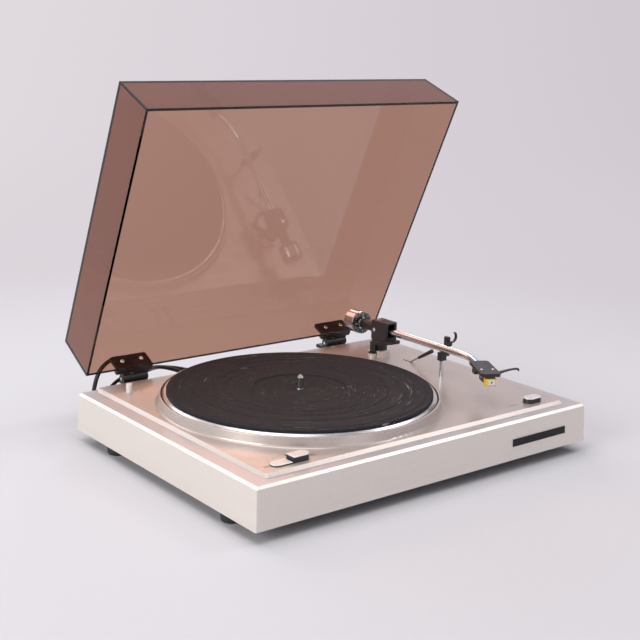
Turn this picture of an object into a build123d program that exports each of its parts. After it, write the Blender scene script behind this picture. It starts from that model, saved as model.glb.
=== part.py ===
from build123d import *
import math
import os

os.makedirs("parts", exist_ok=True)

# A belt-drive record player with its dust cover open and its tonearm on the rest.
# Millimetres. +X runs along the front to the right, +Y to the back, +Z up.
# The origin is under the middle of the object, on the surface that its feet stand on.
# Everything is drawn from the plinth's front left bottom corner, and moved when it is written.
# Places called _X and _Y are measured from that corner, and every _UP from the surface below.

# Fits and clearances
RUNNING = 0.05
SLIDING = 0.3
PANEL_GAP = 0.5
TURN_GAP = 0.4
END_PLAY = 0.1

# Plinth
LEFT_STRIP = 24.1
FRONT_STRIP = 18.9
BACK_STRIP = 9.3
ARM_STRIP = 69.7
SIDE_H = 40.9
SIDE_FLARE = 1.4
BEVEL = 2.5
CORNER_R = 1.5
WALL = 3.0
FOOT_H = 13.0
FOOT_R = 11.5
FOOT_TAPER = 1.0
FOOT_EDGE_R = 2.0
FOOT_FROM_SIDE = 15.0
FOOT_FROM_FRONT = 62.0
COVER_LIFT = 1.0
COVER_T = 2.5
BOSS_R = 4.5
BOSS_INSET = 10.5
SCREW_R = 1.5
SCREW_HEAD_R = 2.9
SCREW_HEAD_H = 1.8
SCREW_L = 10.0
SMALL_SCREW_L = 5.5

# Deck
DECK_SIDE = 18.9
DECK_FRONT = 13.9
DECK_BACK = 6.4
DECK_RISE = 3.6
DECK_STEP = 0.2
DECK_CORNER = 4.0
DECK_LAP = 6.0
DECK_T = 3.0
COLLAR_SPREAD = 6.9
COLLAR_H = 11.0
COLLAR_LIP = 2.0
COLLAR_FOOT_R = 3.0
COLLAR_EDGE_R = 0.6
WELL_GAP = 1.6
WELL_DEPTH = 14.0

# Platter, mat and main bearing
PLATTER_R = 152.0
PLATTER_UP = 12.4
PLATTER_EDGE = 2.0
PLATTER_RIM_W = 6.0
PLATTER_RIM_H = 20.0
PLATTER_WEB = 4.0
DRIVE_R = 104.0
DRIVE_W = 4.0
DRIVE_H = 19.0
HUB_R = 14.0
HUB_H = 12.0
MAT_R = 147.5
MAT_T = 2.9
MAT_RIB = 0.7
MAT_RIB_W = 2.4
MAT_RIB_RADII = (84.0, 98.0, 116.0, 139.0)
LABEL_R = 52.0
LABEL_DEPTH = 0.8
SPINDLE_R = 3.6
SPINDLE_SHAFT_R = 4.0
SPINDLE_NECK_R = 3.2
SPINDLE_NECK = 0.7
SPINDLE_UP = 14.3
SPINDLE_TIP = 3.0
SPINDLE_TIP_R = 1.6
SPINDLE_FOOT = 15.0
BALL_R = 2.5
BUSH_WALL = 2.4
BEARING_R = 9.0
BEARING_FLANGE_R = 20.0
BEARING_FLANGE_T = 3.0
BEARING_UP = 8.0
BEARING_PLUG = 3.0

# Motor and belt
MOTOR_GAP = 9.2
MOTOR_ANGLE = 135.0
MOTOR_R = 18.0
MOTOR_H = 22.0
MOTOR_BOSS_R = 3.0
SHAFT_R = 1.0
SHAFT_UP = 18.0
PULLEY_R = 6.0
PULLEY_HOLE = 9.0
PULLEY_H = 8.0
PULLEY_RIM = 0.8
BELT_W = 5.0
BELT_T = 0.6

# Electrics under the deck
BOARD_FROM_RIGHT = 59.7
BOARD_Y = 190.0
BOARD_W = 46.0
BOARD_D = 80.0
BOARD_T = 1.6
BOARD_UP = 6.0
STANDOFF_R = 3.0
STANDOFF_INSET = 5.0
CHIP = 14.0
CHIP_H = 4.0
CAPACITOR_R = 5.0
CAPACITOR_H = 14.0
TRANSFORMER_FROM_RIGHT = 54.7
TRANSFORMER_Y = 88.0
CORE_W = 42.0
CORE_D = 16.0
CORE_H = 28.0
COIL_W = 26.0
COIL_D = 32.0
COIL_H = 20.0

# Buttons: a pill split in two for the speeds, and one pill to stop
BUTTON_W = 13.0
BUTTON_EDGE = 0.5
CAP_T = 1.0
SPEED_X = 59.7
SPEED_Y = 30.5
SPEED_L = 43.5
SPEED_SPLIT = 1.4
SPEED_UP = 6.5
SPEED_TRAVEL = 4.5
SPEED_BODY = 20.0
STOP_FROM_RIGHT = 54.7
STOP_Y = 31.3
STOP_L = 23.0
STOP_UP = 6.0
STOP_TRAVEL = 3.0
STOP_BODY = 12.0
GUIDE_WALL = 2.5
GUIDE_FLOOR = 3.0
GUIDE_GAP = 0.4

# Adapter post and front plate
POST_X = 43.2
POST_FROM_BACK = 39.7
POST_R = 3.5
POST_H = 10.0
PLATE_FROM_RIGHT = 75.4
PLATE_UP = 19.3
PLATE_W = 83.5
PLATE_H = 8.2
PLATE_T = 0.8

# Tonearm, on the line through its pivot
PIVOT_FROM_COLLAR = 39.9
PIVOT_BEHIND = 97.6
ARM_UP = 34.5
ARM_BASE_R = 14.0
ARM_BASE_H = 8.0
ARM_STEM_R = 8.0
ARM_STEM_L = 18.0
ARM_SHAFT_R = 4.0
PILLAR_R = 10.0
YOKE_BELOW = 12.5
YOKE_ABOVE = 11.5
YOKE_HALF_W = 9.2
YOKE_WALL = 3.5
YOKE_FRONT = 22.0
YOKE_REAR = 6.5
YOKE_ROOF = 2.0
YOKE_FLOOR = 5.0
YOKE_EDGE = 1.0
SHAFT_CAP = 3.0
YOKE_SCREW_R = 3.8
YOKE_SCREW_T = 0.6
PIN_R = 1.5
PIN_HEAD_R = 2.4
PIN_HEAD_T = 0.7
PIN_DEPTH = 3.5
TUBE_R = 4.5
TUBE_WALL = 0.7
STRAIGHT_RUN = 140.0
BEND_R = 76.0
BEND_ANGLE = 30.0
END_RUN = 15.0
TUBE_IN_SHELL = 8.0
TUBE_PLUG = 8.0
HUB_HALF_W = 5.2
HUB_LENGTH = 13.0
HUB_HALF_H = 5.0
STUB_R = 6.5
STUB_START = 8.5
STUB_END = 32.0
REAR_SHAFT_R = 5.0
REAR_SHAFT_END = 60.0
DIAL_START = 33.5
DIAL_R = 13.7
DIAL_T = 4.6
DIAL_BORE = 8.0
WEIGHT_R = 14.2
WEIGHT_L = 17.0
WEIGHT_EDGE = 0.8
WEIGHT_TRAVEL = 3.0

# Headshell, measured along it from its back edge
SHELL_L = 54.5
SHELL_W = 22.0
SHELL_T = 3.6
SHELL_TOP = 5.4
SHELL_COLLAR_L = 9.5
SHELL_COLLAR_W = 13.4
SHELL_COLLAR_H = 13.4
SHELL_SLOPE_L = 6.0
SHELL_CORNER = 2.5
STYLUS_AT = 49.5
CARTRIDGE_SCREWS_AT = 37.0
CARTRIDGE_SCREW_SPAN = 12.7
CARTRIDGE_SCREW_R = 1.0
CARTRIDGE_W = 16.5
CARTRIDGE_BODY_W = 13.0
CARTRIDGE_START = 29.0
CARTRIDGE_L = 16.5
CARTRIDGE_H = 9.0
CARTRIDGE_FLANGE_T = 2.4
HOLDER_W = 12.0
HOLDER_L = 9.0
HOLDER_H = 8.4
HOLDER_EDGE = 1.5
STYLUS_DROP = 15.2
CANTILEVER_R = 0.4
LIFT_AT = 45.0
LIFT_W = 5.0
LIFT_T = 1.2
LIFT_ROOT = 2.4
LIFT_REACH = 22.0
LIFT_RISE = 5.5
LIFT_HOOK = 3.5

# Arm rest and its clip
REST_AHEAD = 114.0
REST_POST_R = 2.5
REST_POST_BELOW = 6.0
REST_HEAD_H = 10.0
REST_HEAD_W = 9.0
REST_HEAD_D = 6.5
REST_SHELF_GAP = 0.5
PRONG_GAP = 0.7
REST_PRONG_W = 4.2
REST_PRONG_H = 18.0
CLIP_T = 1.5
CLIP_W = 3.0
CLIP_PIVOT_UP = 5.0
CLIP_PIN_R = 1.0
CLIP_GAP = 1.0
CLIP_FROM = 35.0
CLIP_TO = 200.0
CLIP_OPEN = 145.0

# Cue lever and lift
LIFT_ASIDE = 14.7
LIFT_AHEAD = 4.0
GUIDE_R = 5.2
GUIDE_UP = 5.4
GUIDE_DOWN = 25.0
LIFT_ROD_R = 2.4
LIFT_SLEEVE_R = 3.5
LIFT_FLANGE_T = 1.0
LIFT_SLEEVE_L = 10.4
LIFT_LINK_T = 3.4
LIFT_ARC_R = 30.0
LIFT_ARC_W = 5.5
LIFT_ARC_T = 4.0
LIFT_ARC_FROM = -152.0
LIFT_ARC_TO = -80.0
LIFT_FOOT_TURN = 5.0
LIFT_TRAVEL = 4.5
LIFT_GAP = 0.5
LEVER_ASIDE = 11.0
LEVER_AHEAD = 36.0
LEVER_DROP = 7.0
LEVER_ANGLE = 31.0
LEVER_L = 58.0
LEVER_R = 1.1
LEVER_EYE_R = 3.0
LEVER_EYE_W = 4.0
GRIP_R = 2.5
GRIP_L = 27.0
GRIP_TAPER = 0.7
BRACKET_T = 2.0
BRACKET_PIN_R = 1.5

# Dust cover and hinges, drawn closed and then opened
LID_SIDE = 12.9
LID_FRONT = 7.9
LID_BACK = 2.5
LID_H = 62.7
LID_DRAFT = 2.35
LID_T = 3.0
LID_GAP = 0.8
LID_OPEN = 65.6
AXIS_BACK = 13.0
AXIS_UP = 2.7
HINGE_SPREAD = 301.6
HINGE_LEAF_W = 47.0
HINGE_LEAF_H = 22.0
HINGE_LEAF_T = 3.0
HINGE_LEAF_R = 2.5
LEAF_LIFT = 0.4
HINGE_FLANGE_D = 6.8
HINGE_FLANGE_H = 5.4
HINGE_R = 5.5
HINGE_PIN_R = 2.0
KNUCKLE_FROM = 9.5
KNUCKLE_W = 8.0
BARREL_FROM = 18.0
BARREL_W = 24.0
LUG_FROM = 26.0
LUG_W = 16.0
LEAF_SCREW_SPAN = 25.0
LEAF_SCREW_UP = 11.0
LEAF_SCREW_HEAD_R = 2.6
LEAF_SCREW_HEAD_H = 1.0
LEAF_SCREW_BED = 0.2
LEAF_SKIN = 0.8
HOLDER_TOP_DROP = 6.8
HOLDER_BOTTOM = 14.0
HOLDER_PLATE_W = 34.0
HOLDER_PLATE_T = 5.0
HOLDER_SCREW_SPAN = 26.0
HOLDER_SCREW_UP = 20.0
SADDLE_X = 10.4
SADDLE_W = 14.0
SADDLE_START = 23.0
SADDLE_STEP = 39.0
SADDLE_BACK = 53.0
SADDLE_UP = 5.9
SADDLE_LOW = 12.6
SADDLE_RIB = 10.0

# Leads: each leaves its gland in the plinth's back
MAINS_X = 184.0
SIGNAL_X = 202.0
GLAND_UP = 20.0
GLAND_L = 25.0
GLAND_FLANGE_R = 6.5
GLAND_FLANGE_T = 2.5
GLAND_NECK = 4.0
GLAND_NECK_R = 4.5
GLAND_LIP = 1.0
MAINS_R = 2.5
SIGNAL_R = 2.25
BEND_SHARE = 0.45

# Their coils behind the plinth: reach, step outward and step upward of the turns
COIL_LAYERS = 4
COIL_HALVES = 4
COIL_CHECKS = 24
MAINS_COIL = (112.0, 424.0)
MAINS_COIL_SIZES = (25.5, 6.4, 5.6)
SIGNAL_COIL = (275.0, 406.0)
SIGNAL_COIL_SIZES = (22.5, 5.8, 5.1)

# Their plugs
MAINS_PLUG = (180.0, 402.0, -6.5)
PLUG_L = 34.0
PLUG_W = 24.0
PLUG_H = 13.0
PLUG_EDGE = 2.5
PLUG_PIN_R = 2.0
PLUG_PIN_L = 19.0
PLUG_PIN_SPAN = 16.0
SIGNAL_PLUG = (346.0, 388.0, -8.0)
TWIN_L = 26.0
TWIN_R = 5.0
TWIN_SPAN = 14.0
TWIN_COLLAR_L = 7.0
TWIN_PIN_R = 1.6
TWIN_PIN_L = 9.0

# The plinth's size follows the platter and what stands beside it
WELL_R = PLATTER_R + WELL_GAP
COLLAR_BASE_R = WELL_R + COLLAR_SPREAD
PLATTER_X = LEFT_STRIP + COLLAR_BASE_R
PLATTER_Y = FRONT_STRIP + COLLAR_BASE_R
PIVOT_X = PLATTER_X + COLLAR_BASE_R + PIVOT_FROM_COLLAR
PIVOT_Y = PLATTER_Y + PIVOT_BEHIND
MOTOR_REACH = DRIVE_R + PULLEY_R + PULLEY_RIM + MOTOR_GAP
PLINTH_W = PIVOT_X + ARM_STRIP
PLINTH_D = PLATTER_Y + COLLAR_BASE_R + BACK_STRIP
LID_D = PLINTH_D - LID_FRONT - LID_BACK

# Heights above the plinth's bottom edge
LEDGE = SIDE_H + BEVEL
DECK = LEDGE + DECK_RISE
COVER_TOP = COVER_LIFT + COVER_T
PLATTER_TOP = DECK + PLATTER_UP
MAT_TOP = PLATTER_TOP + MAT_T
LABEL_FLOOR = MAT_TOP - MAT_RIB - LABEL_DEPTH
ARM_Z = DECK + ARM_UP
WELL_FLOOR = DECK - WELL_DEPTH
WELL_UNDER = WELL_FLOOR - DECK_T
BALL_FOOT = SPINDLE_FOOT - END_PLAY - 2 * BALL_R
BELT_Z = PLATTER_TOP - DRIVE_H + BELT_W
SHAFT_FOOT = WELL_UNDER - BELT_W
SPEED_TOP = DECK + SPEED_UP
STOP_TOP = DECK + STOP_UP
BOARD_Z = COVER_TOP + BOARD_UP
YOKE_LOW = ARM_Z - YOKE_BELOW
YOKE_TOP = ARM_Z + YOKE_ABOVE
LEVER_Z = DECK - LEVER_DROP
LID_RIM_Z = LEDGE + LID_GAP
AXIS_Z = LEDGE + AXIS_UP

# Other places and sizes that follow
REST_Y = PIVOT_Y - REST_AHEAD
LIFT_X = PIVOT_X - LIFT_ASIDE
LIFT_Y = PIVOT_Y - LIFT_AHEAD
LEVER_X = PIVOT_X + LEVER_ASIDE
LEVER_Y = PIVOT_Y - LEVER_AHEAD
STOP_X = PLINTH_W - STOP_FROM_RIGHT
PLATE_X = PLINTH_W - PLATE_FROM_RIGHT
POST_Y = PLINTH_D - POST_FROM_BACK
BOARD_X = PLINTH_W - BOARD_FROM_RIGHT
TRANSFORMER_X = PLINTH_W - TRANSFORMER_FROM_RIGHT
BUSH_R = SPINDLE_SHAFT_R + RUNNING + BUSH_WALL
AXIS_Y = PLINTH_D + AXIS_BACK
HINGES = (PLINTH_W / 2 - HINGE_SPREAD / 2, PLINTH_W / 2 + HINGE_SPREAD / 2)
LEADS = ((MAINS_X, MAINS_R), (SIGNAL_X, SIGNAL_R))
LEAD_START = PLINTH_D + GLAND_L
FLOOR = -FOOT_H
PRONG_X = PIVOT_X + TUBE_R + PRONG_GAP
CLIP_X = PRONG_X + REST_PRONG_W / 2
CLIP_Z = ARM_Z + CLIP_PIVOT_UP
MOTOR_PLACE = (
    PLATTER_X + MOTOR_REACH * math.cos(math.radians(MOTOR_ANGLE)),
    PLATTER_Y + MOTOR_REACH * math.sin(math.radians(MOTOR_ANGLE)))
LEVER_PLACE = Pos(LEVER_X, LEVER_Y, LEVER_Z) * Rot(90 - LEVER_ANGLE, 0, 0)
BEND_SIN = math.sin(math.radians(BEND_ANGLE))
BEND_COS = math.cos(math.radians(BEND_ANGLE))
SHELL_X = PIVOT_X - BEND_R * (1 - BEND_COS) - END_RUN * BEND_SIN
SHELL_Y = PIVOT_Y - STRAIGHT_RUN - BEND_R * BEND_SIN - END_RUN * BEND_COS
SHELL_PLACE = Pos(SHELL_X, SHELL_Y, ARM_Z) * Rot(0, 0, -BEND_ANGLE)


# Plain shapes

def block(x_span, y_span, z_span):
    """A box between pairs of places."""
    spans = (x_span, y_span, z_span)
    size = [end - start for start, end in spans]
    middle = [(start + end) / 2 for start, end in spans]
    return Pos(*middle) * Box(*size)


def about(middle, width):
    """The span of one width about its middle."""
    return middle - width / 2, middle + width / 2


def rod(x, y, z_span, radius):
    """An upright round bar."""
    return Pos(x, y, sum(z_span) / 2) * Cylinder(radius, z_span[1] - z_span[0])


def cone(x, y, z_span, low_r, high_r):
    """An upright bar that tapers."""
    return Pos(x, y, sum(z_span) / 2) * Cone(low_r, high_r, z_span[1] - z_span[0])


def rod_x(x_span, y, z, radius):
    """A round bar along X."""
    return Pos(sum(x_span) / 2, y, z) * Rot(0, 90, 0) * Cylinder(radius, x_span[1] - x_span[0])


def rod_y(x, y_span, z, radius):
    """A round bar along Y."""
    return Pos(x, sum(y_span) / 2, z) * Rot(90, 0, 0) * Cylinder(radius, y_span[1] - y_span[0])


def upright_edges(solid):
    """A solid's edges along Z."""
    return solid.edges().filter_by(Axis.Z)


def together(solids):
    """Separate solids kept in one sub-part."""
    return Compound(children=[solid for part in solids for solid in part.solids()])


# Plinth

def corner_places(from_side, from_front):
    """The same place in each of the plinth's four corners."""
    sides = (from_side, PLINTH_W - from_side)
    ends = (from_front, PLINTH_D - from_front)
    return [(x, y) for x in sides for y in ends]


def side_outline(z, inset=0.0):
    """The plinth's outline at one height: its sides lean out towards the bottom."""
    grow = 2 * (SIDE_FLARE * (1 - z / SIDE_H) - inset)
    return Pos(PLINTH_W / 2, PLINTH_D / 2, z) * RectangleRounded(
        PLINTH_W + grow, PLINTH_D + grow, CORNER_R)


def plinth_outside():
    sides = loft([side_outline(0), side_outline(SIDE_H)])
    bevel = loft([side_outline(SIDE_H), side_outline(LEDGE, BEVEL)])
    return sides + bevel


def plinth_shell():
    roof = LEDGE - WALL
    shell = plinth_outside()
    shell -= loft([side_outline(0, WALL), side_outline(roof, WALL)])
    shell -= block(*deck_span(DECK_LAP), (roof, LEDGE))
    for x, y in corner_places(BOSS_INSET, BOSS_INSET):
        shell += rod(x, y, (COVER_TOP, roof), BOSS_R)
        shell -= rod(x, y, (COVER_TOP, COVER_LIFT + SCREW_L), SCREW_R)
    for x, _ in LEADS:
        shell -= gland_neck(x)
    for screw in bracket_screws():
        shell -= screw
    return shell


def bottom_cover():
    cover = extrude(side_outline(COVER_LIFT, WALL + PANEL_GAP), COVER_T)
    for x, y in corner_places(BOSS_INSET, BOSS_INSET):
        cover -= rod(x, y, (COVER_LIFT, COVER_TOP), SCREW_R)
    for x, y in corner_places(FOOT_FROM_SIDE, FOOT_FROM_FRONT):
        cover -= rod(x, y, (COVER_LIFT, COVER_TOP), SCREW_R)
    for x, y in board_corners():
        cover += rod(x, y, (COVER_TOP, COVER_TOP + BOARD_UP), STANDOFF_R)
        cover -= rod(x, y, (COVER_LIFT, COVER_TOP + BOARD_UP), SCREW_R)
    return cover


def base_screws():
    """Four screws hold the cover, and one from inside holds each foot."""
    screws = []
    for x, y in corner_places(BOSS_INSET, BOSS_INSET):
        head = rod(x, y, (COVER_LIFT - SCREW_HEAD_H, COVER_LIFT), SCREW_HEAD_R)
        screws.append(head + rod(x, y, (COVER_LIFT, COVER_LIFT + SCREW_L), SCREW_R))
    for x, y in corner_places(FOOT_FROM_SIDE, FOOT_FROM_FRONT):
        head = rod(x, y, (COVER_TOP, COVER_TOP + SCREW_HEAD_H), SCREW_HEAD_R)
        screws.append(head + rod(x, y, (COVER_TOP - SCREW_L, COVER_TOP), SCREW_R))
    return together(screws)


def rubber_feet():
    feet = []
    for x, y in corner_places(FOOT_FROM_SIDE, FOOT_FROM_FRONT):
        foot = cone(x, y, (-FOOT_H, COVER_LIFT), FOOT_R - FOOT_TAPER, FOOT_R)
        edge = foot.edges().group_by(Axis.Z)[0]
        foot = fillet(edge, FOOT_EDGE_R)
        feet.append(foot - rod(x, y, (COVER_TOP - SCREW_L, COVER_LIFT), SCREW_R))
    return together(feet)


# Deck, with the well that the platter turns in

def deck_span(inset=0.0):
    """The deck's width and depth on the ledge."""
    x_span = (DECK_SIDE + inset, PLINTH_W - DECK_SIDE - inset)
    y_span = (DECK_FRONT + inset, PLINTH_D - DECK_BACK - inset)
    return x_span, y_span


def deck_plate():
    """A plate with cut corners, bevelled along its front and sides."""
    plate = block(*deck_span(), (LEDGE, DECK))
    plate = chamfer(upright_edges(plate), DECK_CORNER)
    top = plate.faces().sort_by(Axis.Z)[-1]
    front_to_back = top.edges().sort_by(Axis.Y)
    return chamfer(front_to_back[:5], DECK_RISE - DECK_STEP)


def top_deck():
    side_r = COLLAR_BASE_R - COLLAR_FOOT_R
    collar = cone(PLATTER_X, PLATTER_Y, (DECK, DECK + COLLAR_H), side_r, WELL_R + COLLAR_LIP)
    deck = deck_plate() + collar
    foot = deck.edges().filter_by(GeomType.CIRCLE).group_by(Axis.Z)[0]
    deck = fillet(foot, COLLAR_FOOT_R)
    lip = deck.edges().filter_by(GeomType.CIRCLE).group_by(Axis.Z)[-1]
    deck = fillet(lip, COLLAR_EDGE_R)
    deck += rod(PLATTER_X, PLATTER_Y, (WELL_UNDER, LEDGE), WELL_R + DECK_T)
    deck -= rod(PLATTER_X, PLATTER_Y, (WELL_FLOOR, DECK + COLLAR_H), WELL_R)
    deck -= rod(PLATTER_X, PLATTER_Y, (WELL_UNDER, WELL_FLOOR), BEARING_R)
    deck -= rod(*MOTOR_PLACE, (WELL_UNDER, WELL_FLOOR), PULLEY_HOLE)
    deck -= pill(SPEED_X, SPEED_Y, SPEED_L + 2 * SLIDING, BUTTON_W + 2 * SLIDING, (LEDGE, DECK))
    deck -= pill(STOP_X, STOP_Y, STOP_L + 2 * SLIDING, BUTTON_W + 2 * SLIDING, (LEDGE, DECK))
    deck -= lever_slot()
    deck -= rod(LIFT_X, LIFT_Y, (LEDGE, DECK), GUIDE_R)
    deck -= rod(PIVOT_X, PIVOT_Y, (LEDGE, DECK), ARM_STEM_R)
    deck -= rod(PIVOT_X, REST_Y, (LEDGE, DECK), REST_POST_R)
    deck -= rod(POST_X, POST_Y, (LEDGE, DECK), POST_R)
    for screw in deck_screws():
        deck -= screw
    return deck


# Platter, mat and main bearing

def platter():
    centre = (PLATTER_X, PLATTER_Y)
    top = PLATTER_TOP
    edge = chamfer(
        rod(*centre, (top - PLATTER_RIM_H, top), PLATTER_R).edges().group_by(Axis.Z)[-1],
        PLATTER_EDGE)
    disc = edge - rod(*centre, (top - PLATTER_RIM_H, top - PLATTER_WEB), PLATTER_R - PLATTER_RIM_W)
    ring_span = (top - DRIVE_H, top - PLATTER_WEB)
    disc += rod(*centre, ring_span, DRIVE_R) - rod(*centre, ring_span, DRIVE_R - DRIVE_W)
    disc += rod(*centre, (top - HUB_H, top - PLATTER_WEB), HUB_R)
    return disc - rod(*centre, (top - HUB_H, top), SPINDLE_SHAFT_R)


def platter_mat():
    """A rubber mat with a recess for the label and ribs that carry the record."""
    centre = (PLATTER_X, PLATTER_Y)
    valley = MAT_TOP - MAT_RIB
    mat = rod(*centre, (PLATTER_TOP, valley), MAT_R)
    for radius in MAT_RIB_RADII:
        ring = (valley, MAT_TOP)
        mat += rod(*centre, ring, radius + MAT_RIB_W / 2) - rod(*centre, ring, radius - MAT_RIB_W / 2)
    mat -= rod(*centre, (LABEL_FLOOR, valley), LABEL_R)
    return mat - rod(*centre, (PLATTER_TOP, valley), SPINDLE_SHAFT_R + SLIDING)


def spindle():
    """A shaft up through the platter, a neck, and the pin that a record goes over."""
    centre = (PLATTER_X, PLATTER_Y)
    top = MAT_TOP + SPINDLE_UP
    pin_low = LABEL_FLOOR + SPINDLE_NECK
    shaft = rod(*centre, (SPINDLE_FOOT, LABEL_FLOOR), SPINDLE_SHAFT_R)
    shaft += rod(*centre, (LABEL_FLOOR, pin_low), SPINDLE_NECK_R)
    shaft += rod(*centre, (pin_low, top - SPINDLE_TIP), SPINDLE_R)
    return shaft + cone(*centre, (top - SPINDLE_TIP, top), SPINDLE_R, SPINDLE_TIP_R)


def bearing_housing():
    centre = (PLATTER_X, PLATTER_Y)
    bottom = BALL_FOOT - BEARING_PLUG
    housing = rod(*centre, (bottom, WELL_FLOOR + BEARING_UP), BEARING_R)
    housing += rod(*centre, (WELL_UNDER - BEARING_FLANGE_T, WELL_UNDER), BEARING_FLANGE_R)
    housing -= rod(*centre, (BALL_FOOT, WELL_FLOOR + BEARING_UP), BUSH_R)
    for screw in bearing_screws():
        housing -= screw
    return housing


def bearing_bush():
    span = (SPINDLE_FOOT, WELL_FLOOR + BEARING_UP)
    return rod(PLATTER_X, PLATTER_Y, span, BUSH_R) - rod(
        PLATTER_X, PLATTER_Y, span, SPINDLE_SHAFT_R + RUNNING)


def thrust_ball():
    return Pos(PLATTER_X, PLATTER_Y, BALL_FOOT + BALL_R) * Sphere(BALL_R)


# Motor and belt

def motor():
    body = rod(*MOTOR_PLACE, (WELL_UNDER - MOTOR_H, WELL_UNDER), MOTOR_R)
    body += rod(*MOTOR_PLACE, (WELL_UNDER, WELL_FLOOR), MOTOR_BOSS_R)
    body -= rod(*MOTOR_PLACE, (SHAFT_FOOT - END_PLAY, WELL_FLOOR), SHAFT_R + RUNNING)
    for screw in motor_screws():
        body -= screw
    return body


def motor_pulley():
    """A crowned pulley between two rims, on the motor's shaft."""
    low, high = about(BELT_Z, PULLEY_H)
    rim = (PULLEY_H - BELT_W) / 2 - PULLEY_RIM
    pulley = rod(*MOTOR_PLACE, (low, high), PULLEY_R)
    for start in (low, high - rim):
        pulley += rod(*MOTOR_PLACE, (start, start + rim), PULLEY_R + PULLEY_RIM)
    return pulley + rod(*MOTOR_PLACE, (SHAFT_FOOT, WELL_UNDER + SHAFT_UP), SHAFT_R)


def belt_loop(gap):
    """The outline of a belt round the platter's ring and the pulley."""
    ring = Pos(PLATTER_X, PLATTER_Y) * Circle(DRIVE_R + gap)
    wheel = Pos(*MOTOR_PLACE) * Circle(PULLEY_R + gap)
    return make_hull(ring.edges() + wheel.edges())


def drive_belt():
    outline = belt_loop(SLIDING + BELT_T) - belt_loop(SLIDING)
    return Pos(0, 0, BELT_Z - BELT_W / 2) * extrude(outline, BELT_W)


# Screws under the deck

def screw_down(x, y, z):
    """A screw whose head sits on a face at this height."""
    return rod(x, y, (z, z + SCREW_HEAD_H), SCREW_HEAD_R) + rod(x, y, (z - SMALL_SCREW_L, z), SCREW_R)


def bearing_screws():
    reach = (BEARING_R + BEARING_FLANGE_R) / 2
    places = PolarLocations(reach, 3)
    return [screw_down(PLATTER_X + place.position.X, PLATTER_Y + place.position.Y, WELL_FLOOR)
            for place in places]


def motor_screws():
    reach = (PULLEY_HOLE + MOTOR_R) / 2
    x, y = MOTOR_PLACE
    return [screw_down(x + side * reach, y, WELL_FLOOR) for side in (-1, 1)]


def deck_screws():
    return bearing_screws() + motor_screws()


def board_screws():
    return [screw_down(x, y, BOARD_Z + BOARD_T) for x, y in board_corners()]


def inner_screws():
    return together(deck_screws() + board_screws())


# Electrics

def board_corners():
    half_w = BOARD_W / 2 - STANDOFF_INSET
    half_d = BOARD_D / 2 - STANDOFF_INSET
    return [(BOARD_X + x, BOARD_Y + y) for x in (-half_w, half_w) for y in (-half_d, half_d)]


def circuit_board():
    top = BOARD_Z + BOARD_T
    board = block(about(BOARD_X, BOARD_W), about(BOARD_Y, BOARD_D), (BOARD_Z, top))
    board += block(about(BOARD_X, CHIP), about(BOARD_Y, CHIP), (top, top + CHIP_H))
    for step in (-1, 1):
        board += rod(BOARD_X, BOARD_Y + step * 2 * CHIP, (top, top + CAPACITOR_H), CAPACITOR_R)
    for screw in board_screws():
        board -= screw
    return board


def transformer():
    middle = COVER_TOP + CORE_H / 2
    core = block(about(TRANSFORMER_X, CORE_W), about(TRANSFORMER_Y, CORE_D), about(middle, CORE_H))
    winding = block(about(TRANSFORMER_X, COIL_W), about(TRANSFORMER_Y, COIL_D), about(middle, COIL_H))
    return core + winding


# Buttons

def pill(x, y, length, width, z_span):
    """An upright bar with a slot-shaped outline."""
    outline = Pos(x, y, z_span[0]) * SlotOverall(length, width)
    return extrude(outline, z_span[1] - z_span[0])


def speed_half(side, z_span):
    """One half of the split pill for the two speeds."""
    whole = pill(SPEED_X, SPEED_Y, SPEED_L, BUTTON_W, z_span)
    inner = SPEED_X + side * SPEED_SPLIT / 2
    outer = SPEED_X + side * SPEED_L
    return whole & block(sorted((inner, outer)), about(SPEED_Y, BUTTON_W), z_span)


def cap_of(body):
    """A thin bright cap with a softened edge."""
    edge = body.faces().sort_by(Axis.Z)[-1].edges()
    return chamfer(edge, BUTTON_EDGE)


def speed_button(side, top):
    return speed_half(side, (top - SPEED_BODY, top - CAP_T))


def speed_cap(side, top):
    return cap_of(speed_half(side, (top - CAP_T, top)))


def stop_button():
    return pill(STOP_X, STOP_Y, STOP_L, BUTTON_W, (STOP_TOP - STOP_BODY, STOP_TOP - CAP_T))


def stop_button_cap():
    return cap_of(pill(STOP_X, STOP_Y, STOP_L, BUTTON_W, (STOP_TOP - CAP_T, STOP_TOP)))


def switch_block(x, y, length, low):
    """A block under the deck whose pocket guides a button."""
    floor = low - GUIDE_GAP
    wall = 2 * (GUIDE_GAP + GUIDE_WALL)
    top = LEDGE - END_PLAY
    outside = block(about(x, length + wall), about(y, BUTTON_W + wall), (floor - GUIDE_FLOOR, top))
    return outside - pill(x, y, length + 2 * GUIDE_GAP, BUTTON_W + 2 * GUIDE_GAP, (floor, LEDGE))


def switch_blocks():
    speed_low = SPEED_TOP - SPEED_TRAVEL - SPEED_BODY
    stop_low = STOP_TOP - STOP_TRAVEL - STOP_BODY
    return together([
        switch_block(SPEED_X, SPEED_Y, SPEED_L, speed_low),
        switch_block(STOP_X, STOP_Y, STOP_L, stop_low)])


# Adapter post and front plate

def adapter_post():
    post = rod(POST_X, POST_Y, (LEDGE, DECK + POST_H), POST_R)
    return chamfer(post.edges().group_by(Axis.Z)[-1], BUTTON_EDGE)


def front_plate():
    """A blank plate that lies on the leaning front."""
    lean = math.degrees(math.atan(SIDE_FLARE / SIDE_H))
    face_y = -SIDE_FLARE * (1 - PLATE_UP / SIDE_H)
    plate = Pos(0, -PLATE_T / 2, 0) * Box(PLATE_W, PLATE_T, PLATE_H)
    return Pos(PLATE_X, face_y, PLATE_UP) * Rot(-lean, 0, 0) * plate


# Tonearm bearing

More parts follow.
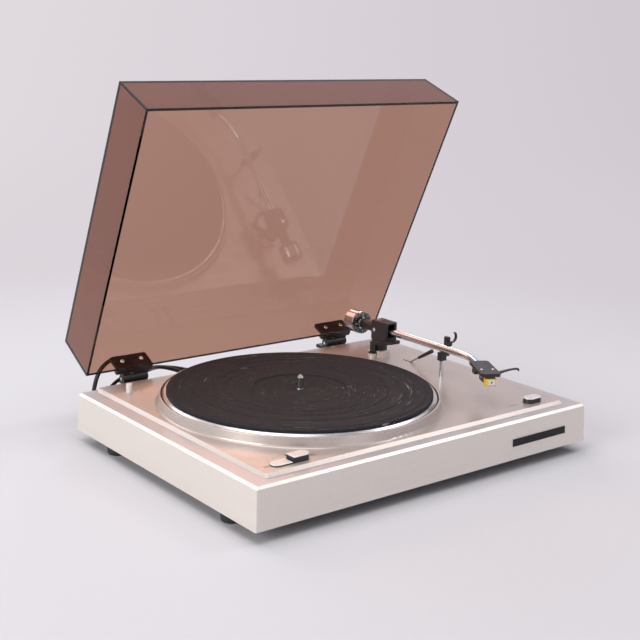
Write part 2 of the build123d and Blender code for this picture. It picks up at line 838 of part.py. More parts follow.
def arm_base():
    """A raised disc and a stem through the deck, notched for the lift beside it."""
    base = rod(PIVOT_X, PIVOT_Y, (DECK, DECK + ARM_BASE_H), ARM_BASE_R)
    base = fillet(base.edges().group_by(Axis.Z)[-1], YOKE_EDGE)
    base += rod(PIVOT_X, PIVOT_Y, (DECK - ARM_STEM_L, DECK), ARM_STEM_R)
    base -= rod(PIVOT_X, PIVOT_Y, (DECK - ARM_STEM_L, DECK + ARM_BASE_H), ARM_SHAFT_R)
    return base - rod(LIFT_X, LIFT_Y, (DECK, DECK + ARM_BASE_H), GUIDE_R + PANEL_GAP)


def arm_spindle():
    return rod(PIVOT_X, PIVOT_Y, (DECK - ARM_STEM_L, YOKE_LOW - SHAFT_CAP), ARM_SHAFT_R)


def gimbal_yoke():
    """A pillar that turns on the shaft, and a channel that the arm tips in."""
    x_span = about(PIVOT_X, 2 * YOKE_HALF_W)
    y_span = (PIVOT_Y - YOKE_FRONT, PIVOT_Y + YOKE_REAR)
    head = block(x_span, y_span, (YOKE_LOW, YOKE_TOP))
    head = fillet(head.edges().filter_by(Axis.Y).group_by(Axis.Z)[-1], YOKE_EDGE)
    head = fillet(upright_edges(head), YOKE_EDGE)
    channel = about(PIVOT_X, 2 * (YOKE_HALF_W - YOKE_WALL))
    head -= block(channel, y_span, (YOKE_LOW + YOKE_FLOOR, YOKE_TOP - YOKE_ROOF))
    foot = DECK + ARM_BASE_H + TURN_GAP
    head += rod(PIVOT_X, PIVOT_Y, (foot, YOKE_LOW), PILLAR_R)
    head -= rod(PIVOT_X, PIVOT_Y, (foot, YOKE_LOW - SHAFT_CAP + END_PLAY), ARM_SHAFT_R + RUNNING)
    for pin in gimbal_pins():
        head -= pin
    return head


def gimbal_pins():
    """Two pins through the yoke's walls that the arm tips on."""
    inner = HUB_HALF_W - PIN_DEPTH
    pins = []
    for side in (-1, 1):
        ends = sorted((PIVOT_X + side * inner, PIVOT_X + side * YOKE_HALF_W))
        pins.append(rod_x(ends, PIVOT_Y, ARM_Z, PIN_R))
    return pins


def gimbal_screws():
    """The pins with their heads, and the bright screw on top."""
    parts = []
    for side, pin in zip((-1, 1), gimbal_pins()):
        face = PIVOT_X + side * YOKE_HALF_W
        head = rod_x(sorted((face, face + side * PIN_HEAD_T)), PIVOT_Y, ARM_Z, PIN_HEAD_R)
        parts.append(pin + head)
    parts.append(rod(PIVOT_X, PIVOT_Y, (YOKE_TOP, YOKE_TOP + YOKE_SCREW_T), YOKE_SCREW_R))
    return together(parts)


# Tonearm

def arm_hub():
    """The block between the yoke's walls, a plug for the tube and the stub behind."""
    half_l = HUB_LENGTH / 2
    hub = block(
        about(PIVOT_X, 2 * HUB_HALF_W), about(PIVOT_Y, HUB_LENGTH), about(ARM_Z, 2 * HUB_HALF_H))
    plug_r = TUBE_R - TUBE_WALL
    hub += rod_y(PIVOT_X, (PIVOT_Y - half_l - TUBE_PLUG, PIVOT_Y - half_l), ARM_Z, plug_r)
    hub += rod_y(PIVOT_X, (PIVOT_Y + half_l, PIVOT_Y + STUB_START), ARM_Z, TUBE_R)
    hub += rod_y(PIVOT_X, (PIVOT_Y + STUB_START, PIVOT_Y + STUB_END), ARM_Z, STUB_R)
    return hub - rod_x(about(PIVOT_X, 2 * HUB_HALF_W), PIVOT_Y, ARM_Z, PIN_R + RUNNING)


def arm_tube():
    """A bent tube: a long straight run, one bend, and a short run into the headshell."""
    start = (PIVOT_X, PIVOT_Y - HUB_LENGTH / 2)
    bend = (PIVOT_X, PIVOT_Y - STRAIGHT_RUN)
    straight = Line(start, bend)
    arc = JernArc(bend, (0, -1), BEND_R, -BEND_ANGLE)
    run = Line(arc @ 1, (arc @ 1) + (arc % 1) * (END_RUN + TUBE_IN_SHELL))
    path = Pos(0, 0, ARM_Z) * (Curve() + [straight, arc, run])
    ring = Circle(TUBE_R) - Circle(TUBE_R - TUBE_WALL)
    return sweep(Pos(*start, ARM_Z) * Rot(90, 0, 0) * ring, path=path)


def force_dial():
    y_span = (PIVOT_Y + DIAL_START, PIVOT_Y + DIAL_START + DIAL_T)
    return rod_y(PIVOT_X, y_span, ARM_Z, DIAL_R) - rod_y(PIVOT_X, y_span, ARM_Z, DIAL_BORE)


def counterweight():
    front = PIVOT_Y + DIAL_START + DIAL_T + TURN_GAP
    body = rod_y(PIVOT_X, (front, front + WEIGHT_L), ARM_Z, WEIGHT_R)
    body = chamfer(body.edges().filter_by(GeomType.CIRCLE), WEIGHT_EDGE)
    nose = PIVOT_Y + STUB_END + WEIGHT_TRAVEL + PANEL_GAP
    body += rod_y(PIVOT_X, (nose, front), ARM_Z, DIAL_BORE - SLIDING)
    return body - rod_y(PIVOT_X, (nose, front + WEIGHT_L), ARM_Z, REAR_SHAFT_R + RUNNING)


def counterweight_shaft():
    return rod_y(PIVOT_X, (PIVOT_Y + STUB_END, PIVOT_Y + REAR_SHAFT_END), ARM_Z, REAR_SHAFT_R)


# Headshell: drawn along -Y from the middle of its back, then turned onto the tube's end

def ahead(start, end):
    """A stretch along the headshell."""
    return -end, -start


def headshell():
    low = SHELL_TOP - SHELL_COLLAR_H
    plate = block(about(0, SHELL_W), ahead(0, SHELL_L), (SHELL_TOP - SHELL_T, SHELL_TOP))
    plate = chamfer(upright_edges(plate), SHELL_CORNER)
    side = Polyline(
        (0, low), (-SHELL_COLLAR_L, low),
        (-SHELL_COLLAR_L - SHELL_SLOPE_L, SHELL_TOP - SHELL_T / 2), (0, SHELL_TOP - SHELL_T / 2),
        close=True)
    collar = extrude(Plane.YZ * make_face(side), SHELL_COLLAR_W / 2, both=True)
    shell = plate + collar
    shell -= rod_y(0, ahead(0, TUBE_IN_SHELL), 0, TUBE_R)
    for screw in cartridge_screws():
        shell -= screw
    return SHELL_PLACE * shell


def cartridge_screws():
    screws = []
    for x in about(0, CARTRIDGE_SCREW_SPAN):
        low = SHELL_TOP - SHELL_T - CARTRIDGE_FLANGE_T
        shaft = rod(x, -CARTRIDGE_SCREWS_AT, (low, SHELL_TOP), CARTRIDGE_SCREW_R)
        head = rod(x, -CARTRIDGE_SCREWS_AT, (SHELL_TOP, SHELL_TOP + CARTRIDGE_SCREW_R), SCREW_R)
        screws.append(shaft + head)
    return screws


def headshell_screws():
    return SHELL_PLACE * together(cartridge_screws())


def finger_lift():
    """A thin strip out from the headshell's side, rising and hooked at its end."""
    inner = SHELL_W / 2
    top = SHELL_TOP
    line = Polyline(
        (inner, top), (inner + LIFT_REACH / 2, top + LIFT_RISE),
        (inner + LIFT_REACH, top + LIFT_RISE), (inner + LIFT_REACH, top + LIFT_RISE - LIFT_HOOK),
        (inner + LIFT_REACH - LIFT_T, top + LIFT_RISE - LIFT_HOOK),
        (inner + LIFT_REACH - LIFT_T, top + LIFT_RISE - LIFT_T),
        (inner + LIFT_REACH / 2, top + LIFT_RISE - LIFT_T), (inner, top - LIFT_ROOT), close=True)
    strip = extrude(Plane.XZ * make_face(line), LIFT_W / 2, both=True)
    return SHELL_PLACE * Pos(0, -LIFT_AT, 0) * strip


def cartridge():
    top = SHELL_TOP - SHELL_T
    y_span = ahead(CARTRIDGE_START, CARTRIDGE_START + CARTRIDGE_L)
    body = block(about(0, CARTRIDGE_BODY_W), y_span, (top - CARTRIDGE_H, top))
    body += block(about(0, CARTRIDGE_W), y_span, (top - CARTRIDGE_FLANGE_T, top))
    for screw in cartridge_screws():
        body -= screw
    return SHELL_PLACE * body


def stylus():
    """The stylus holder in front of the cartridge, and the cantilever under it."""
    back = CARTRIDGE_START + CARTRIDGE_L
    top = SHELL_TOP - SHELL_T - CARTRIDGE_FLANGE_T
    holder = block(about(0, HOLDER_W), ahead(back, back + HOLDER_L), (top - HOLDER_H, top))
    edges = holder.edges().filter_by(Axis.X).sort_by(Axis.Z)
    holder = chamfer(edges[:2], HOLDER_EDGE)
    needle = cone(0, -STYLUS_AT, (-STYLUS_DROP, top - HOLDER_H / 2), CANTILEVER_R / 2, CANTILEVER_R)
    return SHELL_PLACE * (holder + needle)


# Arm rest and its clip

def rest_post():
    head_low = ARM_Z - TUBE_R - REST_SHELF_GAP - REST_HEAD_H
    return rod(PIVOT_X, REST_Y, (LEDGE - REST_POST_BELOW, head_low), REST_POST_R)


def rest_head():
    """A shelf under the tube, and a prong beside it that carries the clip's pin."""
    shelf = ARM_Z - TUBE_R - REST_SHELF_GAP
    low = shelf - REST_HEAD_H
    y_span = about(REST_Y, REST_HEAD_D)
    head = block(about(PIVOT_X, REST_HEAD_W), y_span, (low, shelf))
    head += block((PIVOT_X, PRONG_X + REST_PRONG_W), y_span, (shelf - REST_HEAD_H / 2, shelf))
    prong = block((PRONG_X, PRONG_X + REST_PRONG_W), y_span, (shelf, shelf + REST_PRONG_H))
    pin_front = REST_Y - REST_HEAD_D / 2 - CLIP_W - 2 * SLIDING
    pin = rod_y(CLIP_X, (pin_front, REST_Y), CLIP_Z, CLIP_PIN_R)
    return head + prong + pin


def rest_clip():
    """A hook that closes over the tube, drawn closed and then swung open."""
    back = REST_Y - REST_HEAD_D / 2 - SLIDING
    y_span = (back - CLIP_W, back)
    inner = TUBE_R + CLIP_GAP
    ring = rod_y(PIVOT_X, y_span, ARM_Z, inner + CLIP_T) - rod_y(PIVOT_X, y_span, ARM_Z, inner)
    reach = 2 * (inner + CLIP_T)
    below = Polyline(
        (0, 0), (reach, reach * math.tan(math.radians(CLIP_FROM))), (reach, -reach),
        (-reach, -reach), (-reach, -reach * math.tan(math.radians(CLIP_TO - 180))), close=True)
    gap = extrude(Plane.XZ * make_face(below), CLIP_W, both=True)
    hook = ring - Pos(PIVOT_X, back, ARM_Z) * gap
    hook += rod_y(CLIP_X, y_span, CLIP_Z, CLIP_PIN_R + CLIP_T)
    hook -= rod_y(CLIP_X, y_span, CLIP_Z, CLIP_PIN_R + RUNNING)
    return hook.rotate(Axis((CLIP_X, REST_Y, CLIP_Z), (0, 1, 0)), CLIP_OPEN)


# Cue lever and lift

def lift_guide():
    span = (DECK - GUIDE_DOWN, DECK + GUIDE_UP)
    return rod(LIFT_X, LIFT_Y, span, GUIDE_R) - rod(LIFT_X, LIFT_Y, span, LIFT_ROD_R + RUNNING)


def lift_arc():
    """A strip round the pivot, so the arm lies on it wherever it swings."""
    span = about(0, LIFT_ARC_T)
    ring = rod(0, 0, span, LIFT_ARC_R + LIFT_ARC_W / 2) - rod(0, 0, span, LIFT_ARC_R - LIFT_ARC_W / 2)
    reach = 2 * LIFT_ARC_R
    angles = (LIFT_ARC_FROM, (LIFT_ARC_FROM + LIFT_ARC_TO) / 2, LIFT_ARC_TO)
    rays = [(reach * math.cos(math.radians(a)), reach * math.sin(math.radians(a))) for a in angles]
    slice_face = make_face(Polyline((0, 0), *rays, close=True))
    top = ARM_Z - TUBE_R - LIFT_GAP - LIFT_TRAVEL
    strip = ring & extrude(slice_face, LIFT_ARC_T, both=True)
    return Pos(PIVOT_X, PIVOT_Y, top - LIFT_ARC_T / 2) * strip


def cue_lift():
    """A rod in the guide, a sleeve over it, a link and the strip that lifts the arm."""
    low = DECK + GUIDE_UP + TURN_GAP
    high = low + LIFT_SLEEVE_L
    lift = rod(LIFT_X, LIFT_Y, (DECK - GUIDE_DOWN + LIFT_TRAVEL, low), LIFT_ROD_R)
    lift += rod(LIFT_X, LIFT_Y, (low, high), LIFT_SLEEVE_R)
    lift += rod(LIFT_X, LIFT_Y, (low, low + LIFT_FLANGE_T), GUIDE_R)
    foot_angle = math.radians(LIFT_ARC_FROM + LIFT_FOOT_TURN)
    foot = (PIVOT_X + LIFT_ARC_R * math.cos(foot_angle), PIVOT_Y + LIFT_ARC_R * math.sin(foot_angle))
    run = Line((LIFT_X, LIFT_Y), foot)
    turn = math.degrees(math.atan2(foot[1] - LIFT_Y, foot[0] - LIFT_X))
    link = Pos(*(run @ 0.5)) * Rot(0, 0, turn) * SlotCenterToCenter(run.length, LIFT_ARC_W)
    link = Pos(0, 0, high - LIFT_LINK_T) * extrude(link, LIFT_LINK_T)
    strip = lift_arc()
    riser = rod(*foot, (high, strip.bounding_box().max.Z), LIFT_ARC_W / 2)
    return lift + link + riser + strip


def lever_slot():
    """The slot in the deck, as long as the lever's swing needs."""
    angle = math.radians(LEVER_ANGLE)
    front = LEVER_Y - LEVER_DROP / math.tan(angle) - LEVER_R / math.sin(angle) - SLIDING
    half = LEVER_R + 2 * SLIDING
    return block(about(LEVER_X, 2 * half), (front, LEVER_Y + half), (LEDGE, DECK))


def cue_lever():
    eye = rod_x(about(LEVER_X, LEVER_EYE_W), LEVER_Y, LEVER_Z, LEVER_EYE_R)
    arm = rod(0, 0, (0, LEVER_L - GRIP_L), LEVER_R)
    lever = eye + LEVER_PLACE * arm
    return lever - rod_x(about(LEVER_X, LEVER_EYE_W), LEVER_Y, LEVER_Z, BRACKET_PIN_R + RUNNING)


def lever_grip():
    grip = cone(0, 0, (LEVER_L - GRIP_L, LEVER_L), GRIP_R - GRIP_TAPER, GRIP_R)
    return LEVER_PLACE * fillet(grip.edges().group_by(Axis.Z)[-1], GRIP_TAPER)


def lever_bracket():
    """Two cheeks under the deck with the lever's pin between them."""
    inner = LEVER_EYE_W / 2 + SLIDING
    bracket = rod_x(about(LEVER_X, 2 * (inner + BRACKET_T)), LEVER_Y, LEVER_Z, BRACKET_PIN_R)
    for side in (-1, 1):
        cheek = sorted((LEVER_X + side * inner, LEVER_X + side * (inner + BRACKET_T)))
        low = LEVER_Z - LEVER_EYE_R
        bracket += block(cheek, about(LEVER_Y, 2 * LEVER_EYE_R), (low, LEDGE))
    return bracket


# Dust cover

def lid_outline(z, inset=0.0):
    """The cover's outline at one height above its rim: it narrows towards the top."""
    grow = -2 * (LID_DRAFT * z / LID_H + inset)
    place = Pos(PLINTH_W / 2, LID_FRONT + LID_D / 2, LID_RIM_Z + z)
    return place * Rectangle(PLINTH_W - 2 * LID_SIDE + grow, LID_D + grow)


def lid_outside():
    return loft([lid_outline(0), lid_outline(LID_H)])


def opened(shape):
    """Swing what is drawn on the closed cover to where it stands open."""
    return shape.rotate(Axis((0, AXIS_Y, AXIS_Z), (1, 0, 0)), -LID_OPEN)


def dust_cover():
    cover = lid_outside() - loft([lid_outline(0, LID_T), lid_outline(LID_H - LID_T, LID_T)])
    for screw in leaf_screws():
        cover -= screw
    return opened(cover)


# Hinges: the same two on both sides

def leaf_screws():
    """Screws from inside the cover into both leaves."""
    screws = []
    z = LID_RIM_Z + LEAF_SCREW_UP
    face = LID_FRONT + LID_D - LID_DRAFT * LEAF_SCREW_UP / LID_H
    for centre in HINGES:
        for x in about(centre, LEAF_SCREW_SPAN):
            inside = face - LID_T
            bed = inside + LEAF_SCREW_BED
            head = rod_y(x, (bed - LEAF_SCREW_HEAD_H, bed), z, LEAF_SCREW_HEAD_R)
            screws.append(head + rod_y(x, (inside, face + HINGE_LEAF_T - LEAF_SKIN), z, SCREW_R))
    return screws


def lid_screws():
    return opened(together(leaf_screws()))


def hinge_leaf(centre):
    """The moving half: a leaf, a thick lower edge, a knuckle on the pin and a stop lug."""
    left = centre - HINGE_LEAF_W / 2
    wide = (left, left + HINGE_LEAF_W)
    low = LID_RIM_Z + LEAF_LIFT
    back = LID_FRONT + LID_D
    leaf = block(wide, (back - HINGE_LEAF_T, back + HINGE_LEAF_T), (low, low + HINGE_LEAF_H))
    leaf = fillet(leaf.edges().filter_by(Axis.Y).group_by(Axis.Z)[-1], HINGE_LEAF_R)
    top = low + HINGE_FLANGE_H
    leaf += block(wide, (back, back + HINGE_FLANGE_D), (low, top))
    leaf -= lid_outside()
    knuckle = (left + KNUCKLE_FROM, left + KNUCKLE_FROM + KNUCKLE_W)
    leaf += block(knuckle, (back + HINGE_FLANGE_D, AXIS_Y), (low, top))
    leaf += rod_x(knuckle, AXIS_Y, AXIS_Z, HINGE_R)
    leaf -= rod_x(knuckle, AXIS_Y, AXIS_Z, HINGE_PIN_R + RUNNING)
    lug = (left + LUG_FROM, left + LUG_FROM + LUG_W)
    lug_block = block(lug, (back + HINGE_FLANGE_D, AXIS_Y), (low, top))
    leaf += lug_block - rod_x(lug, AXIS_Y, AXIS_Z, HINGE_R + TURN_GAP)
    for screw in leaf_screws():
        leaf -= screw
    return leaf


def hinge_leaves():
    return opened(together([hinge_leaf(centre) for centre in HINGES]))


def hinge_pins():
    return together([
        rod_x((centre - HINGE_LEAF_W / 2 + KNUCKLE_FROM - PIN_HEAD_T,
               centre - HINGE_LEAF_W / 2 + BARREL_FROM + BARREL_W), AXIS_Y, AXIS_Z, HINGE_PIN_R)
        for centre in HINGES])


def bracket_screws():
    """Two screws through each hinge's back plate into the plinth."""
    screws = []
    for centre in HINGES:
        middle = centre - HINGE_LEAF_W / 2 + BARREL_FROM + BARREL_W / 2
        for x in about(middle, HOLDER_SCREW_SPAN):
            face = PLINTH_D + HOLDER_PLATE_T
            head = rod_y(x, (face, face + SCREW_HEAD_H), HOLDER_SCREW_UP, SCREW_HEAD_R)
            screws.append(head + rod_y(x, (face - SCREW_L, face), HOLDER_SCREW_UP, SCREW_R))
    return screws


def hinge_bracket(centre):
    """The fixed half: a back plate, a barrel, and an arm that carries the leads over it."""
    left = centre - HINGE_LEAF_W / 2 + BARREL_FROM
    wide = (left, left + BARREL_W)
    top = AXIS_Z - HOLDER_TOP_DROP
    plate = about(left + BARREL_W / 2, HOLDER_PLATE_W)
    bracket = block(plate, (PLINTH_D - WALL, PLINTH_D + HOLDER_PLATE_T), (HOLDER_BOTTOM, top))
    bracket -= plinth_outside()
    web_back = AXIS_Y + HINGE_R
    rib_low = top - SADDLE_RIB
    bracket += block(wide, (PLINTH_D + HOLDER_PLATE_T, web_back), (rib_low, top))
    bracket += block(wide, about(AXIS_Y, 2 * HINGE_PIN_R + 2 * TURN_GAP), (top, AXIS_Z))
    bracket += rod_x(wide, AXIS_Y, AXIS_Z, HINGE_R)
    bracket -= rod_x(wide, AXIS_Y, AXIS_Z, HINGE_PIN_R)
    saddle = about(centre + SADDLE_X, SADDLE_W)
    step = PLINTH_D + SADDLE_STEP
    bracket += block(saddle, (web_back, step), (rib_low, top))
    bracket += block(saddle, (PLINTH_D + SADDLE_START, step), (rib_low, AXIS_Z + SADDLE_UP))
    bracket += block(saddle, (step, PLINTH_D + SADDLE_BACK), (rib_low, AXIS_Z - SADDLE_LOW))
    for screw in bracket_screws():
        bracket -= screw
    return bracket


def hinge_brackets():
    return together([hinge_bracket(centre) for centre in HINGES])


# Leads

def gland_neck(x):
    inside = PLINTH_D - WALL - GLAND_NECK
    return rod_y(x, (inside, PLINTH_D + SIDE_FLARE), GLAND_UP, GLAND_NECK_R)


def cord_gland(x, radius):
    """A flange on the plinth's back, a neck through it and a tapered sleeve."""
    face = PLINTH_D + SIDE_FLARE
    end = PLINTH_D + GLAND_L
    sleeve_l = end - face - GLAND_FLANGE_T
    gland = rod_y(x, (PLINTH_D - WALL, face + GLAND_FLANGE_T), GLAND_UP, GLAND_FLANGE_R)
    gland -= plinth_outside()
    sleeve = Cone(GLAND_NECK_R, radius + GLAND_LIP, sleeve_l)
    gland += Pos(x, end - sleeve_l / 2, GLAND_UP) * Rot(-90, 0, 0) * sleeve
    return gland + gland_neck(x)


def cord_glands():
    return together([cord_gland(x, radius) for x, radius in LEADS])


def cord_radii(route):
    """The widest bend that the two runs at each point allow."""
    runs = [end - start for start, end in zip(route, route[1:])]
    radii = []
    for before, after in zip(runs, runs[1:]):
        half_turn = math.radians(before.get_angle(after)) / 2
        radii.append(BEND_SHARE * min(before.length, after.length) / math.tan(half_turn))
    return radii


def cord_tube(name, points, radius):
    """A free stretch of a lead: straight runs joined by arcs."""
    route = [Vector(*point) for point in points]
    radii = cord_radii(route)
    path = FilletPolyline(*route, radius=radii)
    print(name, "bends", [round(bend, 1) for bend in radii], "length", round(path.length))
    return sweep(Plane(origin=path @ 0, z_dir=path % 0) * Circle(radius), path=path)


def coil_points(centre, radius, pitch, rise, low):
    """Where each half turn starts: the loops spiral in, climb a layer, and spiral out again."""
    points = []
    for half in range(COIL_LAYERS * COIL_HALVES + 1):
        layer = min(half // COIL_HALVES, COIL_LAYERS - 1)
        step = half - layer * COIL_HALVES
        inward = step if layer % 2 == 0 else COIL_HALVES - 1 - step
        reach = radius - inward * pitch / 2
        side = -1 if half % 2 == 0 else 1
        points.append(Vector(centre[0], centre[1] + side * reach, low + layer * rise))
    return points


def coil_path(points, lead_in):
    """Two arcs for each half turn, with a short straight at both ends."""
    heading = Vector(1, 0, 0)
    edges = [Line(points[0] - heading * lead_in, points[0])]
    for start, end in zip(points, points[1:]):
        middle = (start + end) / 2 + heading * ((end - start).length / 2)
        first = TangentArc(start, middle, tangent=heading)
        second = TangentArc(middle, end, tangent=first % 1)
        edges += [first, second]
        heading = heading * -1
    edges.append(Line(points[-1], points[-1] + heading * lead_in))
    return edges


def coil_gap(edges, radius):
    """The least gap between turns, measured on points along the path."""
    spots = [edge @ (step / COIL_CHECKS) for edge in edges for step in range(COIL_CHECKS)]
    apart = 4 * COIL_CHECKS
    gaps = [(spots[a] - spots[b]).length - 2 * radius
            for a in range(len(spots)) for b in range(a + apart, len(spots))]
    return min(gaps)


def cord_coil(name, centre, sizes, radius):
    """A lead's spare length, piled in loops on the floor."""
    reach, pitch, rise = sizes
    edges = coil_path(coil_points(centre, reach, pitch, rise, FLOOR + radius), 2 * radius)
    length = sum(edge.length for edge in edges)
    print(name, "coil length", round(length), "least gap", round(coil_gap(edges, radius), 2))
    path = Wire(edges)
    return sweep(Plane(origin=path @ 0, z_dir=path % 0) * Circle(radius), path=path)


def mains_cord():
    """From the gland up over the left hinge's arm, down to the floor and into the coil."""
    points = [
        (MAINS_X, LEAD_START, GLAND_UP), (MAINS_X, 397, GLAND_UP), (172.5, 413.5, 26), (153, 418.5, 33),
        (134.5, 411.5, 37.5), (119, 399, 40.5), (98, 388, 53), (80, 383, 63.5),
        (60.5, 384.5, 64.5), (45.5, 387, 51.5), (41, 390, 31.5), (41.5, 395, 12),
        (49.5, 398, -1.6), (63.4, 399, -9.4), (80, 398.5, FLOOR + MAINS_R),
        (MAINS_COIL[0] - 2 * MAINS_R, MAINS_COIL[1] - MAINS_COIL_SIZES[0], FLOOR + MAINS_R)]
    free = cord_tube("mains", points, MAINS_R)
    out = coil_end(MAINS_COIL, MAINS_COIL_SIZES, MAINS_R)
    tail_points = [
        out, out + Vector(16, 0, 0), out + Vector(31, 2.7, -5.8),
        (160, MAINS_PLUG[1], MAINS_PLUG[2]), MAINS_PLUG]
    return together([free, cord_tube("mains tail", tail_points, MAINS_R)])


def coil_end(centre, sizes, radius):
    """Where the coil's last straight ends."""
    reach, pitch, rise = sizes
    last = coil_points(centre, reach, pitch, rise, FLOOR + radius)[-1]
    return last + Vector(2 * radius, 0, 0)


def mains_coil():
    return cord_coil("mains", MAINS_COIL, MAINS_COIL_SIZES, MAINS_R)


def plug_pin(x_span, y, z, radius):
    """A contact with a softened tip."""
    pin = rod_x(x_span, y, z, radius)
    return chamfer(pin.edges().filter_by(GeomType.CIRCLE).sort_by(Axis.X)[-1], radius / 3)


def mains_plug():
    """A flat plug with two round pins, lying on the floor."""
    x, y, z = MAINS_PLUG
    body = block((x, x + PLUG_L), about(y, PLUG_W), about(z, PLUG_H))
    body = fillet(body.edges().filter_by(Axis.X), PLUG_EDGE)
    back = body.faces().sort_by(Axis.X)[0]
    body = chamfer(back.edges(), PLUG_EDGE / 2)
    for pin_y in about(y, PLUG_PIN_SPAN):
        body += plug_pin((x + PLUG_L, x + PLUG_L + PLUG_PIN_L), pin_y, z, PLUG_PIN_R)
    return body


def signal_cord():
    """From its gland behind the mains lead, over the arm's step, down and along the floor."""
    lane = SIGNAL_COIL[1] - SIGNAL_COIL_SIZES[0]
    low = FLOOR + SIGNAL_R
    points = [
        (SIGNAL_X, LEAD_START, GLAND_UP), (SIGNAL_X, 396, GLAND_UP), (195, 414, 22), (178, 427, 26),
        (157, 428.5, 30.5), (139, 421, 33), (121, 409, 34.5), (103, 399, 36.5), (86, 394.5, 38.2),
        (70, 393.5, 33), (57, 391, 21), (52, 388, 5), (59, 385.5, -7), (74, 384, low),
        (94, 385.5, low), (128, 386, low), (168, 384.5, low), (208, lane + 1, low),
        (238, lane, low), (SIGNAL_COIL[0] - 2 * SIGNAL_R, lane, low)]
    free = cord_tube("signal", points, SIGNAL_R)
    out = coil_end(SIGNAL_COIL, SIGNAL_COIL_SIZES, SIGNAL_R)
    tail_points = [
        out, out + Vector(15, 0, 0), out + Vector(30, 2.5, -5),
        (SIGNAL_PLUG[0] - 18, SIGNAL_PLUG[1], SIGNAL_PLUG[2]), SIGNAL_PLUG]
    return together([free, cord_tube("signal tail", tail_points, SIGNAL_R)])


def signal_coil():
    return cord_coil("signal", SIGNAL_COIL, SIGNAL_COIL_SIZES, SIGNAL_R)


def signal_plug():
    """A moulded block with two round plugs, lying on the floor."""
    x, y, z = SIGNAL_PLUG
    body = block((x, x + TWIN_L), about(y, TWIN_SPAN + 2 * TWIN_R), about(z, 2 * TWIN_R))
    body = fillet(body.edges().filter_by(Axis.X), TWIN_R - PLUG_EDGE)
    for plug_y in about(y, TWIN_SPAN):
        collar = (x + TWIN_L, x + TWIN_L + TWIN_COLLAR_L)
        body += rod_x(collar, plug_y, z, TWIN_R - PLUG_EDGE / 2)
        body += plug_pin((collar[1], collar[1] + TWIN_PIN_L), plug_y, z, TWIN_PIN_R)
    return body


# Every sub-part, moved from the plinth's corner to the origin

def overall_depth():
    """From the plinth's foot in front to the open cover's rearmost edge."""
    return opened(lid_outside()).bounding_box().max.Y + SIDE_FLARE


SUB_PARTS = {
    "plinth_shell": plinth_shell(),
    "top_deck": top_deck(),
    "bottom_cover": bottom_cover(),
    "base_screws": together([base_screws(), *bracket_screws()]),
    "rubber_feet": rubber_feet(),
    "bearing_housing": bearing_housing(),
    "bearing_bush": bearing_bush(),
    "thrust_ball": thrust_ball(),
    "inner_screws": inner_screws(),
    "motor": motor(),
    "motor_pulley": motor_pulley(),
    "drive_belt": drive_belt(),
    "circuit_board": circuit_board(),
    "transformer": transformer(),
    "platter": platter(),
    "platter_mat": platter_mat(),
    "spindle": spindle(),
    "button_33": speed_button(-1, SPEED_TOP - SPEED_TRAVEL),
    "button_33_cap": speed_cap(-1, SPEED_TOP - SPEED_TRAVEL),
    "button_45": speed_button(1, SPEED_TOP),
    "button_45_cap": speed_cap(1, SPEED_TOP),
    "stop_button": stop_button(),
    "stop_button_cap": stop_button_cap(),
    "switch_blocks": switch_blocks(),
    "adapter_post": adapter_post(),
    "front_plate": front_plate(),
    "arm_base": arm_base(),
    "arm_spindle": arm_spindle(),
    "gimbal_yoke": gimbal_yoke(),
    "gimbal_screws": gimbal_screws(),
    "arm_hub": arm_hub(),
    "arm_tube": arm_tube(),
    "force_dial": force_dial(),
    "counterweight": counterweight(),
    "counterweight_shaft": counterweight_shaft(),
    "headshell": headshell(),
    "headshell_screws": headshell_screws(),
    "finger_lift": finger_lift(),
    "cartridge": cartridge(),
    "stylus": stylus(),
    "rest_post": rest_post(),
    "rest_head": rest_head(),
    "rest_clip": rest_clip(),
    "lift_guide": lift_guide(),
    "cue_lift": cue_lift(),
    "cue_lever": cue_lever(),
    "lever_grip": lever_grip(),
    "lever_bracket": lever_bracket(),
    "dust_cover": dust_cover(),
    "lid_screws": lid_screws(),
    "hinge_leaves": hinge_leaves(),
    "hinge_brackets": hinge_brackets(),
    "hinge_pins": hinge_pins(),
    "cord_glands": cord_glands(),
    "mains_cord": mains_cord(),
    "mains_coil": mains_coil(),
    "mains_plug": mains_plug(),
    "signal_cord": signal_cord(),
    "signal_coil": signal_coil(),
    "signal_plug": signal_plug(),
}

TO_ORIGIN = Pos(-PLINTH_W / 2, SIDE_FLARE - overall_depth() / 2, FOOT_H)
print("origin shift", [round(value, 3) for value in TO_ORIGIN.position])

for node, shape in SUB_PARTS.items():
    export_step(TO_ORIGIN * shape, f"parts/{node}.step")
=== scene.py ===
import math

import bmesh
import bpy
from mathutils import Matrix, Vector


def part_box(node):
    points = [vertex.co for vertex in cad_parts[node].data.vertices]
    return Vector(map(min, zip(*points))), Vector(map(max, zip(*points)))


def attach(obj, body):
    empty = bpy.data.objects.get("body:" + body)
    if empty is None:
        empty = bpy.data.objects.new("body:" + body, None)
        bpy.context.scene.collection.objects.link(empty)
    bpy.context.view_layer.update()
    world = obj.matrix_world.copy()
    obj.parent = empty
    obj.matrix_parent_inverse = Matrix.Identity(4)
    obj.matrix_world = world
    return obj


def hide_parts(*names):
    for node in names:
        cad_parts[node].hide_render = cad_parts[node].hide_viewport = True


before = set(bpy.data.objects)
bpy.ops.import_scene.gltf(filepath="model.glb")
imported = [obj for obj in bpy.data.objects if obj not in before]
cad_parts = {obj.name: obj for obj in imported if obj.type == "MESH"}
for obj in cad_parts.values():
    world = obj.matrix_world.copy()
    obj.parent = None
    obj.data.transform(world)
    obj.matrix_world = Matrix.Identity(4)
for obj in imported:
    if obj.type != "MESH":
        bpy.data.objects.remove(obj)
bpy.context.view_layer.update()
SCENE = bpy.context.scene

